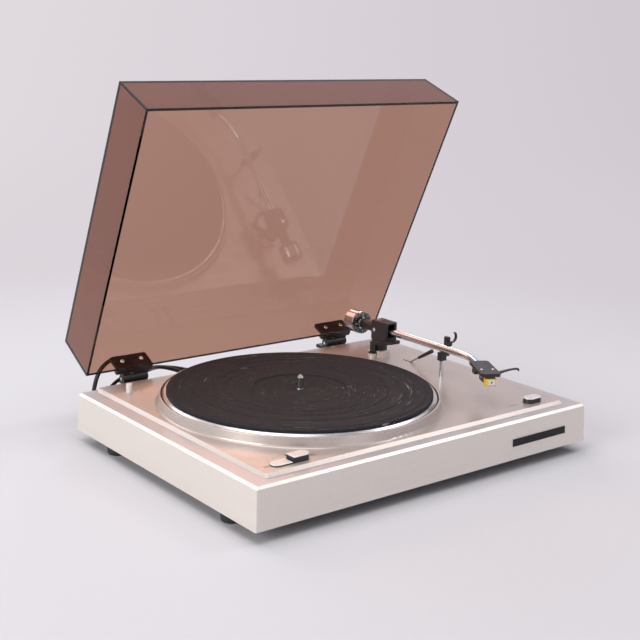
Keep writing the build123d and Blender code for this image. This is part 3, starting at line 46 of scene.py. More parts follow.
# The drawing starts at the plinth's front left bottom corner, in millimetres
SHIFT = (-227.35, -204.398, 13.0)
PLATTER = (184.6, 179.4)
PIVOT = (385.0, 277.0)
MAT_TOP = 62.3
PLATTER_TOP = 59.4
DECK = 47.0
ARM_Z = 81.5
DIAL_FACE_Y = 310.5
HINGE_AXIS = (362.2, 46.1)
HINGE_X = (76.55, 378.15)
LID_ANGLE = 65.6
FLOOR = -13.0


def here(x, y, z):
    """A place in the drawing, as a point of the scene in metres."""
    return Vector(((x + SHIFT[0]) / 1000, (y + SHIFT[1]) / 1000, (z + SHIFT[2]) / 1000))


DRAWN = Matrix.Translation(here(0, 0, 0))


# Meshes

def piece(name, mesh):
    obj = bpy.data.objects.new(name, mesh)
    SCENE.collection.objects.link(obj)
    return obj


def smoothed(mesh, angle):
    """The mesh, shaded smooth but for the edges that bend more than the angle in degrees."""
    mesh.polygons.foreach_set("use_smooth", [True] * len(mesh.polygons))
    mesh.set_sharp_from_angle(angle=math.radians(angle))
    return mesh


def from_bmesh(name, bm, smooth=35):
    """A bmesh as a piece, with its doubles merged and its faces turned outwards."""
    bmesh.ops.remove_doubles(bm, verts=bm.verts, dist=1e-6)
    bmesh.ops.recalc_face_normals(bm, faces=bm.faces)
    mesh = bpy.data.meshes.new(name)
    bm.to_mesh(mesh)
    bm.free()
    return piece(name, smoothed(mesh, smooth))


def evaluated(obj):
    """A new mesh of the object as its modifiers leave it."""
    depsgraph = bpy.context.evaluated_depsgraph_get()
    return bpy.data.meshes.new_from_object(obj.evaluated_get(depsgraph))


def baked(obj, smooth=35):
    """The object with its modifiers turned into a plain mesh."""
    mesh = evaluated(obj)
    name = obj.name
    bpy.data.objects.remove(obj)
    mesh.name = name
    return piece(name, smoothed(mesh, smooth))


def turned(bm, outline, place, steps=64, axis=(0, 0, 1)):
    """A closed solid of revolution: the outline is (radius, height) pairs in millimetres."""
    turn = Vector((0, 0, 1)).rotation_difference(Vector(axis)).to_matrix().to_4x4()
    placed = Matrix.Translation(place) @ turn
    rings = []
    for radius, height in outline:
        if radius == 0:
            rings.append([bm.verts.new(placed @ Vector((0, 0, height / 1000)))])
            continue
        ring = []
        for step in range(steps):
            angle = 2 * math.pi * step / steps
            spot = Vector((radius * math.cos(angle), radius * math.sin(angle), height)) / 1000
            ring.append(bm.verts.new(placed @ spot))
        rings.append(ring)
    for low, high in zip(rings, rings[1:]):
        for step in range(steps):
            after = (step + 1) % steps
            corners = [low[step % len(low)], low[after % len(low)],
                       high[after % len(high)], high[step % len(high)]]
            corners = list(dict.fromkeys(corners))
            if len(corners) > 2:
                bm.faces.new(corners)


def lofted(bm, sections, frame_at, points=28):
    """A closed body along X: each section is (x, half width, half height, middle y, middle z)."""
    rings = []
    for x, half_w, half_h, y, z in sections:
        ring = []
        for step in range(points):
            angle = 2 * math.pi * step / points
            across, up = math.cos(angle), math.sin(angle)
            across = math.copysign(abs(across) ** 0.45, across)
            up = math.copysign(abs(up) ** 0.45, up)
            spot = Vector((x, y + half_w * across, z + half_h * up)) / 1000
            ring.append(bm.verts.new(frame_at @ spot))
        rings.append(ring)
    for near, far in zip(rings, rings[1:]):
        for step in range(points):
            after = (step + 1) % points
            bm.faces.new((near[step], near[after], far[after], far[step]))
    bm.faces.new(rings[0])
    bm.faces.new(rings[-1])


def slab(bm, place, half_sizes):
    """A small rectangular block, placed by a matrix."""
    sizes = Matrix.Diagonal((*[2 * half / 1000 for half in half_sizes], 1.0))
    bmesh.ops.create_cube(bm, size=1.0, matrix=place @ sizes)


def letters(bm, text, size, depth, place):
    """Raised characters, with their middle at the origin of the placing matrix."""
    data = bpy.data.curves.new(text, "FONT")
    data.body = text
    data.size = size / 1000
    data.extrude = depth / 1000
    data.align_x = "CENTER"
    data.align_y = "CENTER"
    drawn = piece(text, data)
    mesh = evaluated(drawn)
    bpy.data.objects.remove(drawn)
    mesh.transform(place)
    bm.from_mesh(mesh)
    bpy.data.meshes.remove(mesh)


# Node tools

def feed(tree, node, inputs):
    """Sets a node's inputs, each to a value or to the output that it is linked to."""
    for label, value in inputs.items():
        if isinstance(value, bpy.types.NodeSocket):
            tree.links.new(value, node.inputs[label])
        else:
            node.inputs[label].default_value = value


def add(tree, kind, inputs=None, **settings):
    node = tree.nodes.new(kind)
    for label, value in settings.items():
        setattr(node, label, value)
    feed(tree, node, inputs or {})
    return node


def maths(tree, operation, first, second=None, clamp=False):
    inputs = {0: first} if second is None else {0: first, 1: second}
    return add(tree, "ShaderNodeMath", inputs, operation=operation, use_clamp=clamp).outputs[0]


def vector_maths(tree, operation, *inputs):
    node = add(tree, "ShaderNodeVectorMath", dict(enumerate(inputs)), operation=operation)
    return node.outputs


def combined(tree, **axes):
    return add(tree, "ShaderNodeCombineXYZ", axes).outputs[0]


def split(tree, vector):
    return add(tree, "ShaderNodeSeparateXYZ", {0: vector}).outputs


def node_tree(name, kind, inputs, outputs):
    """An empty tree with named sockets, what it is given, and its last node."""
    tree = bpy.data.node_groups.new(name, kind)
    for label, socket_kind, value in inputs:
        socket = tree.interface.new_socket(label, in_out="INPUT",
                                           socket_type="NodeSocket" + socket_kind)
        if value is not None:
            socket.default_value = value
    for label, socket_kind in outputs:
        tree.interface.new_socket(label, in_out="OUTPUT",
                                  socket_type="NodeSocket" + socket_kind)
    return tree, tree.nodes.new("NodeGroupInput").outputs, tree.nodes.new("NodeGroupOutput")


# Geometry Nodes tools

def geometry_tree(name, inputs):
    sockets = [("Geometry", "Geometry", None), *inputs, ("Material", "Material", None)]
    return node_tree(name, "GeometryNodeTree", sockets, [("Geometry", "Geometry")])


def joined(tree, *shapes):
    node = add(tree, "GeometryNodeJoinGeometry")
    for shape in shapes:
        tree.links.new(shape, node.inputs[0])
    return node.outputs[0]


def end_tree(tree, given, end, shape):
    """The instances are made real and given the piece's material."""
    real = add(tree, "GeometryNodeRealizeInstances", {"Geometry": shape})
    finished = add(tree, "GeometryNodeSetMaterial", {
        "Geometry": real.outputs["Geometry"], "Material": given["Material"]})
    feed(tree, end, {"Geometry": finished.outputs["Geometry"]})


def grown(obj, tree, rows, smooth=35):
    """The object with the tree run on it once for each row of input values, as a plain mesh."""
    sockets = {item.name: item.identifier for item in tree.interface.items_tree
               if item.item_type == "SOCKET" and item.in_out == "INPUT"}
    for row in rows:
        modifier = obj.modifiers.new("growth", "NODES")
        modifier.node_group = tree
        for label, value in row.items():
            modifier[sockets[label]] = value
    return baked(obj, smooth)


def make_ring_tree():
    """Broken rings that stand on a face: blocks bent round a centre and set round it."""
    tree, given, end = geometry_tree("broken_rings", [
        ("Centre", "Vector", (0.0, 0.0, 0.0)), ("Radius", "Float", 0.1),
        ("Width", "Float", 0.002), ("Height", "Float", 0.0005), ("Count", "Int", 12),
        ("Gap", "Float", 0.04)])
    block = add(tree, "GeometryNodeMeshCube", {
        "Size": combined(tree, X=given["Width"], Y=1.0, Z=given["Height"]),
        "Vertices X": 2, "Vertices Y": 13, "Vertices Z": 2})
    share = maths(tree, "DIVIDE", 2 * math.pi, given["Count"])
    sweep = maths(tree, "SUBTRACT", share, given["Gap"])
    spot = split(tree, add(tree, "GeometryNodeInputPosition").outputs[0])
    angle = maths(tree, "MULTIPLY", spot["Y"], sweep)
    taper = maths(tree, "DIVIDE", spot["Z"], given["Height"])
    narrow = maths(tree, "SUBTRACT", 0.8, maths(tree, "MULTIPLY", taper, 0.4))
    reach = maths(tree, "ADD", given["Radius"], maths(tree, "MULTIPLY", spot["X"], narrow))
    bent = combined(tree, X=maths(tree, "MULTIPLY", reach, maths(tree, "COSINE", angle)),
                    Y=maths(tree, "MULTIPLY", reach, maths(tree, "SINE", angle)), Z=spot["Z"])
    bend = add(tree, "GeometryNodeSetPosition", {
        "Geometry": block.outputs["Mesh"], "Position": bent})
    spots = add(tree, "GeometryNodePoints", {
        "Count": given["Count"], "Position": given["Centre"]})
    number = add(tree, "GeometryNodeInputIndex").outputs[0]
    set_round = add(tree, "GeometryNodeInstanceOnPoints", {
        "Points": spots.outputs[0], "Instance": bend.outputs["Geometry"],
        "Rotation": combined(tree, Z=maths(tree, "MULTIPLY", number, share))})
    end_tree(tree, given, end,
             joined(tree, given["Geometry"], set_round.outputs["Instances"]))
    return tree


def make_screw_tree():
    """A screw on each point, along the point's facing, with its slots turned at random."""
    tree, given, end = geometry_tree("set_screws", [
        ("Head", "Object", None), ("Shaft", "Object", None), ("Head radius", "Float", 0.003),
        ("Head height", "Float", 0.0015), ("Shaft radius", "Float", 0.0015),
        ("Shaft length", "Float", 0.01), ("Seed", "Int", 3)])
    parts = []
    for part, radius, length in (("Head", "Head radius", "Head height"),
                                 ("Shaft", "Shaft radius", "Shaft length")):
        source = add(tree, "GeometryNodeObjectInfo", {"Object": given[part]})
        sized = add(tree, "GeometryNodeTransform", {
            "Geometry": source.outputs["Geometry"],
            "Scale": combined(tree, X=given[radius], Y=given[radius], Z=given[length])})
        parts.append(sized.outputs["Geometry"])
    facing = add(tree, "GeometryNodeInputNamedAttribute", {"Name": "facing"},
                 data_type="FLOAT_VECTOR")
    aim = add(tree, "FunctionNodeAlignRotationToVector",
              {"Vector": facing.outputs["Attribute"]}, axis="Z")
    chance = add(tree, "FunctionNodeRandomValue", {"Max": math.pi, "Seed": given["Seed"]},
                 data_type="FLOAT")
    spin = add(tree, "FunctionNodeAxisAngleToRotation", {
        "Axis": (0, 0, 1), "Angle": next(out for out in chance.outputs if out.enabled)})
    turned_in = add(tree, "FunctionNodeRotateRotation", {
        "Rotation": aim.outputs["Rotation"], "Rotate By": spin.outputs["Rotation"]},
        rotation_space="LOCAL")
    screws = add(tree, "GeometryNodeInstanceOnPoints", {
        "Points": given["Geometry"], "Instance": joined(tree, *parts),
        "Rotation": turned_in.outputs["Rotation"]})
    end_tree(tree, given, end, screws.outputs["Instances"])
    return tree


def make_grip_tree():
    """Thin discs in a row along Y, each a step smaller, joined to the body they stand on."""
    tree, given, end = geometry_tree("grip_ribs", [
        ("First place", "Vector", (0.0, 0.0, 0.0)), ("Count", "Int", 6),
        ("Pitch", "Float", 0.003), ("First radius", "Float", 0.005),
        ("Last radius", "Float", 0.004), ("Thickness", "Float", 0.0012)])
    disc = add(tree, "GeometryNodeMeshCylinder", {
        "Vertices": 28, "Radius": 1.0, "Depth": given["Thickness"]})
    row = add(tree, "GeometryNodeMeshLine", {
        "Count": given["Count"], "Start Location": given["First place"],
        "Offset": combined(tree, Y=given["Pitch"])}, mode="OFFSET")
    number = add(tree, "GeometryNodeInputIndex").outputs[0]
    share = maths(tree, "DIVIDE", number, maths(tree, "SUBTRACT", given["Count"], 1.0))
    fall = maths(tree, "SUBTRACT", given["Last radius"], given["First radius"])
    radius = maths(tree, "ADD", given["First radius"], maths(tree, "MULTIPLY", share, fall))
    ribs = add(tree, "GeometryNodeInstanceOnPoints", {
        "Points": row.outputs["Mesh"], "Instance": disc.outputs["Mesh"],
        "Rotation": (math.pi / 2, 0, 0), "Scale": combined(tree, X=radius, Y=radius, Z=1.0)})
    end_tree(tree, given, end, joined(tree, given["Geometry"], ribs.outputs["Instances"]))
    return tree


# Shader tools

DUST_COLOUR = (0.55, 0.52, 0.5)
COAT_ROUGHNESS = 0.12


def new_material(name):
    material = bpy.data.materials.new(name)
    material.use_nodes = True
    return material, material.node_tree, material.node_tree.nodes["Principled BSDF"]


def shader_group(name, inputs, outputs):
    return node_tree(name, "ShaderNodeTree", inputs, [(label, "Float") for label in outputs])


def place_group(tree, group, inputs):
    return add(tree, "ShaderNodeGroup", inputs, node_tree=group).outputs


def object_place(tree):
    return add(tree, "ShaderNodeTexCoord").outputs["Object"]


def spread(tree, value, low, high, to_low=0.0, to_high=1.0, kind="LINEAR"):
    return add(tree, "ShaderNodeMapRange", {
        "From Min": low, "From Max": high, "To Min": to_low, "To Max": to_high,
        "Value": value}, interpolation_type=kind).outputs["Result"]


def noise(tree, place, scale, detail=2.0, roughness=0.5):
    return add(tree, "ShaderNodeTexNoise", {
        "Scale": scale, "Detail": detail, "Roughness": roughness,
        "Vector": place}).outputs["Fac"]


def mix_colour(tree, share, first, second):
    """Both colours may be outputs or plain (red, green, blue) values."""
    ends = [(*end, 1.0) if isinstance(end, tuple) else end for end in (first, second)]
    return add(tree, "ShaderNodeMix", {"Factor": share, "A": ends[0], "B": ends[1]},
               data_type="RGBA").outputs["Result"]


def bump(tree, height, strength, distance=0.0001):
    return add(tree, "ShaderNodeBump", {
        "Strength": strength, "Distance": distance, "Height": height}).outputs["Normal"]


def make_flake_group():
    """Fine flakes and a faint mottle, as in metallic paint and moulded plastic."""
    tree, given, end = shader_group("flakes", [
        ("Flake size", "Float", 1400.0), ("Mottle size", "Float", 18.0),
        ("Flake share", "Float", 0.5)], ["Fac", "Height"])
    place = object_place(tree)
    fine = noise(tree, place, given["Flake size"], 1.0)
    broad = noise(tree, place, given["Mottle size"], 4.0)
    mix = add(tree, "ShaderNodeMix", {"Factor": given["Flake share"], "A": broad, "B": fine})
    feed(tree, end, {"Fac": mix.outputs["Result"], "Height": fine})
    return tree


def make_turning_group():
    """Rings left by a lathe, about an upright axis, and the smear of handling."""
    tree, given, end = shader_group("turning", [
        ("Centre", "Vector", (0.0, 0.0, 0.0)), ("Rings", "Float", 2500.0)], ["Fac", "Height"])
    place = object_place(tree)
    away = vector_maths(tree, "SUBTRACT", place, given["Centre"])[0]
    flat = vector_maths(tree, "MULTIPLY", away, (1, 1, 0))[0]
    reach = vector_maths(tree, "LENGTH", flat)["Value"]
    rings = add(tree, "ShaderNodeTexNoise", {
        "Detail": 3.0, "Scale": 1.0, "W": maths(tree, "MULTIPLY", reach, given["Rings"])},
        noise_dimensions="1D").outputs["Fac"]
    smear = noise(tree, place, 30.0, 4.0)
    both = maths(tree, "ADD", maths(tree, "MULTIPLY", rings, 0.7),
                 maths(tree, "MULTIPLY", smear, 0.3))
    feed(tree, end, {"Fac": both, "Height": rings})
    return tree


def make_dust_group():
    """Settled dust: more on faces that look up, in soft patches with specks."""
    tree, given, end = shader_group("dust", [("Amount", "Float", 0.2)], ["Fac"])
    place = object_place(tree)
    up = split(tree, add(tree, "ShaderNodeNewGeometry").outputs["Normal"])
    flat = spread(tree, up["Z"], 0.4, 0.9)
    patches = spread(tree, noise(tree, place, 26.0, 5.0, 0.65), 0.45, 0.7)
    specks = spread(tree, noise(tree, place, 900.0, 1.0), 0.66, 0.72)
    both = maths(tree, "MAXIMUM", maths(tree, "MULTIPLY", patches, 0.5), specks)
    on_top = maths(tree, "MULTIPLY", both, flat)
    feed(tree, end, {"Fac": maths(tree, "MULTIPLY", on_top, given["Amount"], True)})
    return tree


RING_TREE = make_ring_tree()
SCREW_TREE = make_screw_tree()
GRIP_TREE = make_grip_tree()
FLAKES = make_flake_group()
TURNING = make_turning_group()
DUST = make_dust_group()


def grained(name, dark, light, roughness=(0.35, 0.5), metal=0.0, size=1400.0, mottle=18.0,
            share=0.5, relief=0.1, dust=0.0, coat=0.0, gloss=0.5):
    """A finish that varies between two colours and two roughnesses, with fine relief."""
    material, tree, shader = new_material(name)
    grain = place_group(tree, FLAKES, {
        "Flake size": size, "Mottle size": mottle, "Flake share": share})
    colour = mix_colour(tree, spread(tree, grain["Fac"], 0.3, 0.7), dark, light)
    if dust:
        settled = place_group(tree, DUST, {"Amount": dust})
        colour = mix_colour(tree, settled["Fac"], colour, DUST_COLOUR)
    feed(tree, shader, {
        "Base Color": colour, "Roughness": spread(tree, grain["Fac"], 0.3, 0.7, *roughness),
        "Metallic": metal, "Specular IOR Level": gloss,
        "Normal": bump(tree, grain["Height"], relief)})
    if coat:
        feed(tree, shader, {"Coat Weight": coat, "Coat Roughness": COAT_ROUGHNESS})
    return material


def turned_metal(name, dark, light, roughness, centre):
    material, tree, shader = new_material(name)
    lathe = place_group(tree, TURNING, {"Centre": tuple(centre), "Rings": 2500.0})
    feed(tree, shader, {
        "Base Color": mix_colour(tree, lathe["Fac"], dark, light),
        "Roughness": spread(tree, lathe["Fac"], 0.2, 0.8, *roughness), "Metallic": 1.0,
        "Normal": bump(tree, lathe["Height"], 0.15, 0.00005)})
    return material


def smoked_acrylic():
    """Clear brown sheet: the tint is in its depth, so its edges look dark."""
    material, tree, shader = new_material("smoked_acrylic")
    haze = noise(tree, object_place(tree), 14.0, 5.0, 0.6)
    feed(tree, shader, {
        "Base Color": (1, 1, 1, 1), "Transmission Weight": 1.0, "IOR": 1.49,
        "Roughness": spread(tree, haze, 0.45, 0.75, 0.0, 0.03)})
    depth = add(tree, "ShaderNodeVolumeAbsorption", {
        "Color": (0.66, 0.37, 0.20, 1), "Density": 515.0})
    clear = add(tree, "ShaderNodeBsdfTransparent", {"Color": (0.88, 0.79, 0.75, 1)})
    either = add(tree, "ShaderNodeMixShader", {
        "Fac": add(tree, "ShaderNodeLightPath").outputs["Is Shadow Ray"],
        1: shader.outputs[0], 2: clear.outputs[0]})
    feed(tree, tree.nodes["Material Output"], {
        "Surface": either.outputs[0], "Volume": depth.outputs[0]})
    return material


def mat_rubber():
    """Dark rubber with pale scuffs that run round with the platter, and dark ticks of painted
    shade for notches.
    """
    material, tree, shader = new_material("mat_rubber")
    place = object_place(tree)
    middle = here(*PLATTER, MAT_TOP)
    centred = add(tree, "ShaderNodeMapping", {
        "Location": (-middle.x, -middle.y, -middle.z), "Vector": place}).outputs[0]
    apart = split(tree, centred)
    radius = vector_maths(tree, "LENGTH", centred)["Value"]
    turn = maths(tree, "ARCTAN2", apart["Y"], apart["X"])
    sine = maths(tree, "SINE", turn)
    cosine = maths(tree, "COSINE", turn)

    def streaks(density, around, low, high):
        """Marks stretched round the centre."""
        spot = combined(tree, X=maths(tree, "MULTIPLY", cosine, around),
                        Y=maths(tree, "MULTIPLY", sine, around),
                        Z=maths(tree, "MULTIPLY", radius, density))
        return spread(tree, noise(tree, spot, 1.0), low, high)

    scuffs = streaks(1000.0, 3.2, 0.665, 0.70)
    worn = spread(tree, noise(tree, place, 22.0), 0.46, 0.56)
    rubbed = streaks(150.0, 1.2, 0.3, 0.8)
    specks = spread(tree, noise(tree, place, 1100.0, 0.0), 0.76, 0.8)
    pale = maths(tree, "MAXIMUM", maths(tree, "MULTIPLY", scuffs, worn),
                 maths(tree, "MULTIPLY", specks, 0.5))
    ground = mix_colour(tree, rubbed, (0.0155, 0.0165, 0.021), (0.020, 0.021, 0.026))
    # Painted shade: twelve dark ticks round the 91 mm radius stand in for the shade inside notches
    sixth = maths(tree, "ABSOLUTE", maths(tree, "SINE", maths(tree, "MULTIPLY", turn, 6.0)))
    band = maths(tree, "ABSOLUTE", maths(tree, "SUBTRACT", radius, 0.091))
    notch_shade = maths(tree, "MULTIPLY", maths(tree, "LESS_THAN", sixth, 0.07),
                  maths(tree, "LESS_THAN", band, 0.0055))
    ground = mix_colour(tree, notch_shade, ground, (0.006, 0.0055, 0.006))
    shown = mix_colour(tree, maths(tree, "MULTIPLY", pale, 0.7), ground, (0.36, 0.34, 0.33))
    feed(tree, shader, {
        "Base Color": shown, "Roughness": spread(tree, rubbed, 0.0, 1.0, 0.72, 0.66),
        "Specular IOR Level": 0.17,
        "Normal": bump(tree, noise(tree, place, 2600.0, 1.0), 0.25, 0.00006)})
    return material


def shell_paint(name):
    return grained(name, (0.745, 0.69, 0.64), (0.81, 0.76, 0.71), (0.27, 0.31), metal=0.4,
                   size=2600.0, mottle=6.0, share=0.8, relief=0.04, gloss=0.3)


def shaded_ledges(material, tone):
    """Painted shade: darkens a paint to the given tone on the faces that look straight up."""
    tree = material.node_tree
    shader = tree.nodes["Principled BSDF"]
    base = shader.inputs["Base Color"].links[0].from_socket
    facing = split(tree, add(tree, "ShaderNodeTexCoord").outputs["Normal"])
    # Painted shade: faces that look straight up are mixed towards the darker tone
    up_shade_mask = spread(tree, facing["Z"], 0.97, 0.99)
    feed(tree, shader, {"Base Color": mix_colour(tree, up_shade_mask, base, tone)})
    return material


SHELL_PAINT = shell_paint("shell_paint")
# The plinth's paint, with painted shade on its upward faces
PLINTH_PAINT_SHADED_TOPS = shaded_ledges(shell_paint("plinth_paint"), (0.53, 0.50, 0.51))
DECK_PAINT = grained("deck_paint", (0.50, 0.435, 0.40), (0.555, 0.49, 0.455), (0.26, 0.29),
                     metal=0.45, size=2600.0, mottle=6.0, share=0.8, relief=0.04, dust=0.05,
                     coat=0.15)
BLACK_PLASTIC = grained("black_plastic", (0.012, 0.012, 0.013), (0.028, 0.027, 0.028),
                        (0.32, 0.5), size=1900.0, relief=0.15, dust=0.25)
SHELL_BLACK = grained("headshell_black", (0.018, 0.016, 0.019), (0.030, 0.028, 0.032),
                      (0.38, 0.5), size=1500.0, relief=0.2, dust=0.1, gloss=0.35)
GLOSS_BLACK = grained("gloss_black", (0.006, 0.006, 0.007), (0.012, 0.012, 0.013),
                      (0.10, 0.18), size=400.0, relief=0.01, coat=0.5)
PLATE_BLACK = grained("plate_black", (0.008, 0.008, 0.009), (0.014, 0.014, 0.015),
                      (0.22, 0.3), size=900.0, relief=0.02, gloss=0.22)
FOOT_RUBBER = grained("foot_rubber", (0.016, 0.015, 0.014), (0.040, 0.038, 0.036),
                      (0.65, 0.85), size=900.0, relief=0.35)
LEAD_RUBBER = grained("lead_rubber", (0.010, 0.010, 0.011), (0.022, 0.022, 0.023),
                      (0.30, 0.48), size=700.0, relief=0.12, dust=0.15)
SILVER = grained("silver_cap", (0.68, 0.67, 0.66), (0.78, 0.77, 0.76), (0.36, 0.45),
                 metal=0.5, size=2200.0, relief=0.08)
# Painted colour: the blue tint cancels the pink reflection of the smoked cover on the tube; the
# metal itself is near neutral
TUBE_CHROME = grained("tube_chrome", (0.60, 0.675, 0.75), (0.70, 0.775, 0.85), (0.15, 0.2),
                      metal=1.0, size=400.0, relief=0.01)
CHROME = grained("chrome", (0.72, 0.71, 0.71), (0.82, 0.81, 0.81), (0.05, 0.12),
                 metal=1.0, size=300.0, relief=0.01)
STEEL = grained("steel", (0.55, 0.54, 0.53), (0.68, 0.67, 0.66), (0.16, 0.28),
                metal=1.0, size=1200.0, relief=0.03)
DULL_STEEL = grained("dull_steel", (0.24, 0.24, 0.25), (0.38, 0.38, 0.38), (0.3, 0.5),
                     metal=1.0, size=500.0, relief=0.1)
BRASS = grained("brass", (0.52, 0.36, 0.13), (0.72, 0.53, 0.22), (0.2, 0.34),
                metal=1.0, size=700.0, relief=0.05)
CAST = grained("cast_metal", (0.36, 0.36, 0.37), (0.52, 0.52, 0.53), (0.35, 0.55),
               metal=0.9, size=800.0, relief=0.3)
IVORY = grained("adapter_plastic", (0.76, 0.72, 0.66), (0.84, 0.81, 0.76), (0.12, 0.2),
                size=300.0, relief=0.02, coat=0.3)
YELLOW = grained("stylus_yellow", (0.80, 0.50, 0.02), (0.90, 0.62, 0.05), (0.2, 0.3),
                 size=600.0, relief=0.03)
WHITE_PRINT = grained("white_print", (0.62, 0.61, 0.60), (0.72, 0.71, 0.70), (0.4, 0.5),
                      size=1500.0, relief=0.05)
DARK_PRINT = grained("dark_print", (0.022, 0.018, 0.016), (0.035, 0.03, 0.027), (0.5, 0.6),
                     size=1500.0, relief=0.05)
GREEN_BOARD = grained("circuit_green", (0.015, 0.06, 0.025), (0.03, 0.11, 0.04), (0.3, 0.5),
                      size=300.0, relief=0.1)
PLATTER_METAL = turned_metal("platter_metal", (0.60, 0.60, 0.61), (0.78, 0.78, 0.79),
                             (0.20, 0.34), here(*PLATTER, PLATTER_TOP))
WEIGHT_METAL = grained("weight_metal", (0.46, 0.45, 0.46), (0.60, 0.59, 0.60), (0.14, 0.24),
                       metal=1.0, size=900.0, relief=0.02)
ACRYLIC = smoked_acrylic()
MAT_RUBBER = mat_rubber()

NODE_FINISHES = {
    "plinth_shell": PLINTH_PAINT_SHADED_TOPS, "top_deck": DECK_PAINT, "arm_base": SHELL_PAINT,
    "lift_guide": SHELL_PAINT, "bottom_cover": BLACK_PLASTIC, "base_screws": STEEL,
    "rubber_feet": FOOT_RUBBER, "bearing_housing": CAST, "bearing_bush": BRASS,
    "thrust_ball": CHROME, "inner_screws": STEEL, "motor": DULL_STEEL, "motor_pulley": BRASS,
    "drive_belt": FOOT_RUBBER, "circuit_board": GREEN_BOARD, "transformer": DULL_STEEL,
    "platter": PLATTER_METAL, "platter_mat": MAT_RUBBER, "spindle": STEEL,
    "button_33": BLACK_PLASTIC, "button_45": BLACK_PLASTIC, "stop_button": BLACK_PLASTIC,
    "button_33_cap": SILVER, "button_45_cap": SILVER, "stop_button_cap": SILVER,
    "switch_blocks": BLACK_PLASTIC, "adapter_post": IVORY, "front_plate": PLATE_BLACK,
    "arm_spindle": STEEL, "gimbal_yoke": BLACK_PLASTIC, "gimbal_screws": STEEL,
    "arm_hub": BLACK_PLASTIC, "arm_tube": TUBE_CHROME, "force_dial": GLOSS_BLACK,
    "counterweight": WEIGHT_METAL, "counterweight_shaft": STEEL, "headshell": SHELL_BLACK,
    "headshell_screws": STEEL, "finger_lift": SHELL_BLACK, "cartridge": BLACK_PLASTIC,
    "stylus": YELLOW, "rest_post": TUBE_CHROME, "rest_head": BLACK_PLASTIC,
    "rest_clip": BLACK_PLASTIC, "cue_lift": BLACK_PLASTIC, "cue_lever": STEEL,
    "lever_grip": BLACK_PLASTIC, "lever_bracket": BLACK_PLASTIC, "dust_cover": ACRYLIC,
    "lid_screws": STEEL, "hinge_leaves": BLACK_PLASTIC, "hinge_brackets": BLACK_PLASTIC,
    "hinge_pins": STEEL, "cord_glands": LEAD_RUBBER, "mains_plug": BLACK_PLASTIC,
    "signal_plug": BLACK_PLASTIC,
}


def finish_nodes():
    for name, material in NODE_FINISHES.items():
        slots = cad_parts[name].data.materials
        slots.clear()
        slots.append(material)


finish_nodes()


# Platter mat

def make_mat():
    """A turned disc with a recess for the label, and four broken rings that carry the record."""
    bm = bmesh.new()
    valley = MAT_TOP - 0.3
    turned(bm, [(4.3, PLATTER_TOP), (147.0, PLATTER_TOP), (147.5, PLATTER_TOP + 0.4),
                (147.5, 61.6), (147.2, 62.1), (146.4, MAT_TOP), (144.8, MAT_TOP), (144.2, valley),
                (53.0, valley), (52.2, 61.3), (51.8, 60.8), (5.0, 60.8), (4.3, 60.5),
                (4.3, PLATTER_TOP)], here(*PLATTER, 0), steps=180)
    base = from_bmesh("rubber_mat", bm)
    rows = [{"Centre": here(*PLATTER, valley), "Radius": radius / 1000, "Width": 0.0024,
             "Height": 0.0006, "Count": count, "Gap": gap, "Material": MAT_RUBBER}
            for radius, count, gap in ((84.0, 12, 0.035), (98.0, 12, 0.03), (116.0, 16, 0.015),
                                       (139.0, 16, 0.012))]
    mat = grown(base, RING_TREE, rows)
    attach(mat, "turning platter")
    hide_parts("platter_mat")


make_mat()


# Screws

def screw_head():
    """A pan head of unit radius and height with a crossed recess."""
    bm = bmesh.new()
    turned(bm, [(0, 0), (1000, 0), (1000, 450), (930, 720), (780, 900)], Vector((0, 0, 0)), 24)
    rim = [edge for edge in bm.edges if edge.is_boundary]
    arm, half = 0.55, 0.11
    corners = [(arm, -half), (arm, half), (half, half), (half, arm), (-half, arm), (-half, half),
               (-arm, half), (-arm, -half), (-half, -half), (-half, -arm), (half, -arm),
               (half, -half)]
    top = [bm.verts.new((x, y, 0.98)) for x, y in corners]
    low = [bm.verts.new((x * 0.7, y * 0.7, 0.35)) for x, y in corners]
    edges = []
    for number in range(len(corners)):
        after = (number + 1) % len(corners)
        edges.append(bm.edges.new((top[number], top[after])))
        bm.faces.new((top[number], top[after], low[after], low[number]))
    bm.faces.new(low)
    bmesh.ops.triangle_fill(bm, edges=rim + edges, use_beauty=True)
    return from_bmesh("screw_head", bm, 30)


def screw_shaft():
    bm = bmesh.new()
    turned(bm, [(0, 50), (1000, 50), (1000, -940), (800, -1000), (0, -1000)],
           Vector((0, 0, 0)), 16)
    return from_bmesh("screw_shaft", bm, 30)


HEAD = screw_head()
SHAFT = screw_shaft()


def set_screws(name, places, sizes, body, node, material=STEEL):
    """Screws at (point, facing) places; sizes are head radius, height, shaft radius, length."""
    mesh = bpy.data.meshes.new(name)
    mesh.from_pydata([place for place, facing in places], [], [])
    facing = mesh.attributes.new("facing", "FLOAT_VECTOR", "POINT")
    facing.data.foreach_set("vector", [axis for place, way in places for axis in way])
    row = dict(zip(("Head radius", "Head height", "Shaft radius", "Shaft length"),
                   [size / 1000 for size in sizes]))
    row.update({"Head": HEAD, "Shaft": SHAFT, "Material": material})
    screws = grown(piece(name, mesh), SCREW_TREE, [row])
    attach(screws, body)
    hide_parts(node)


def opened(point, way):
    """A place on the closed cover, turned with it about the hinges to where it stands."""
    axis = here(0, *HINGE_AXIS)
    turn = Matrix.Rotation(math.radians(-LID_ANGLE), 3, "X")
    return axis + turn @ (point - axis), turn @ way


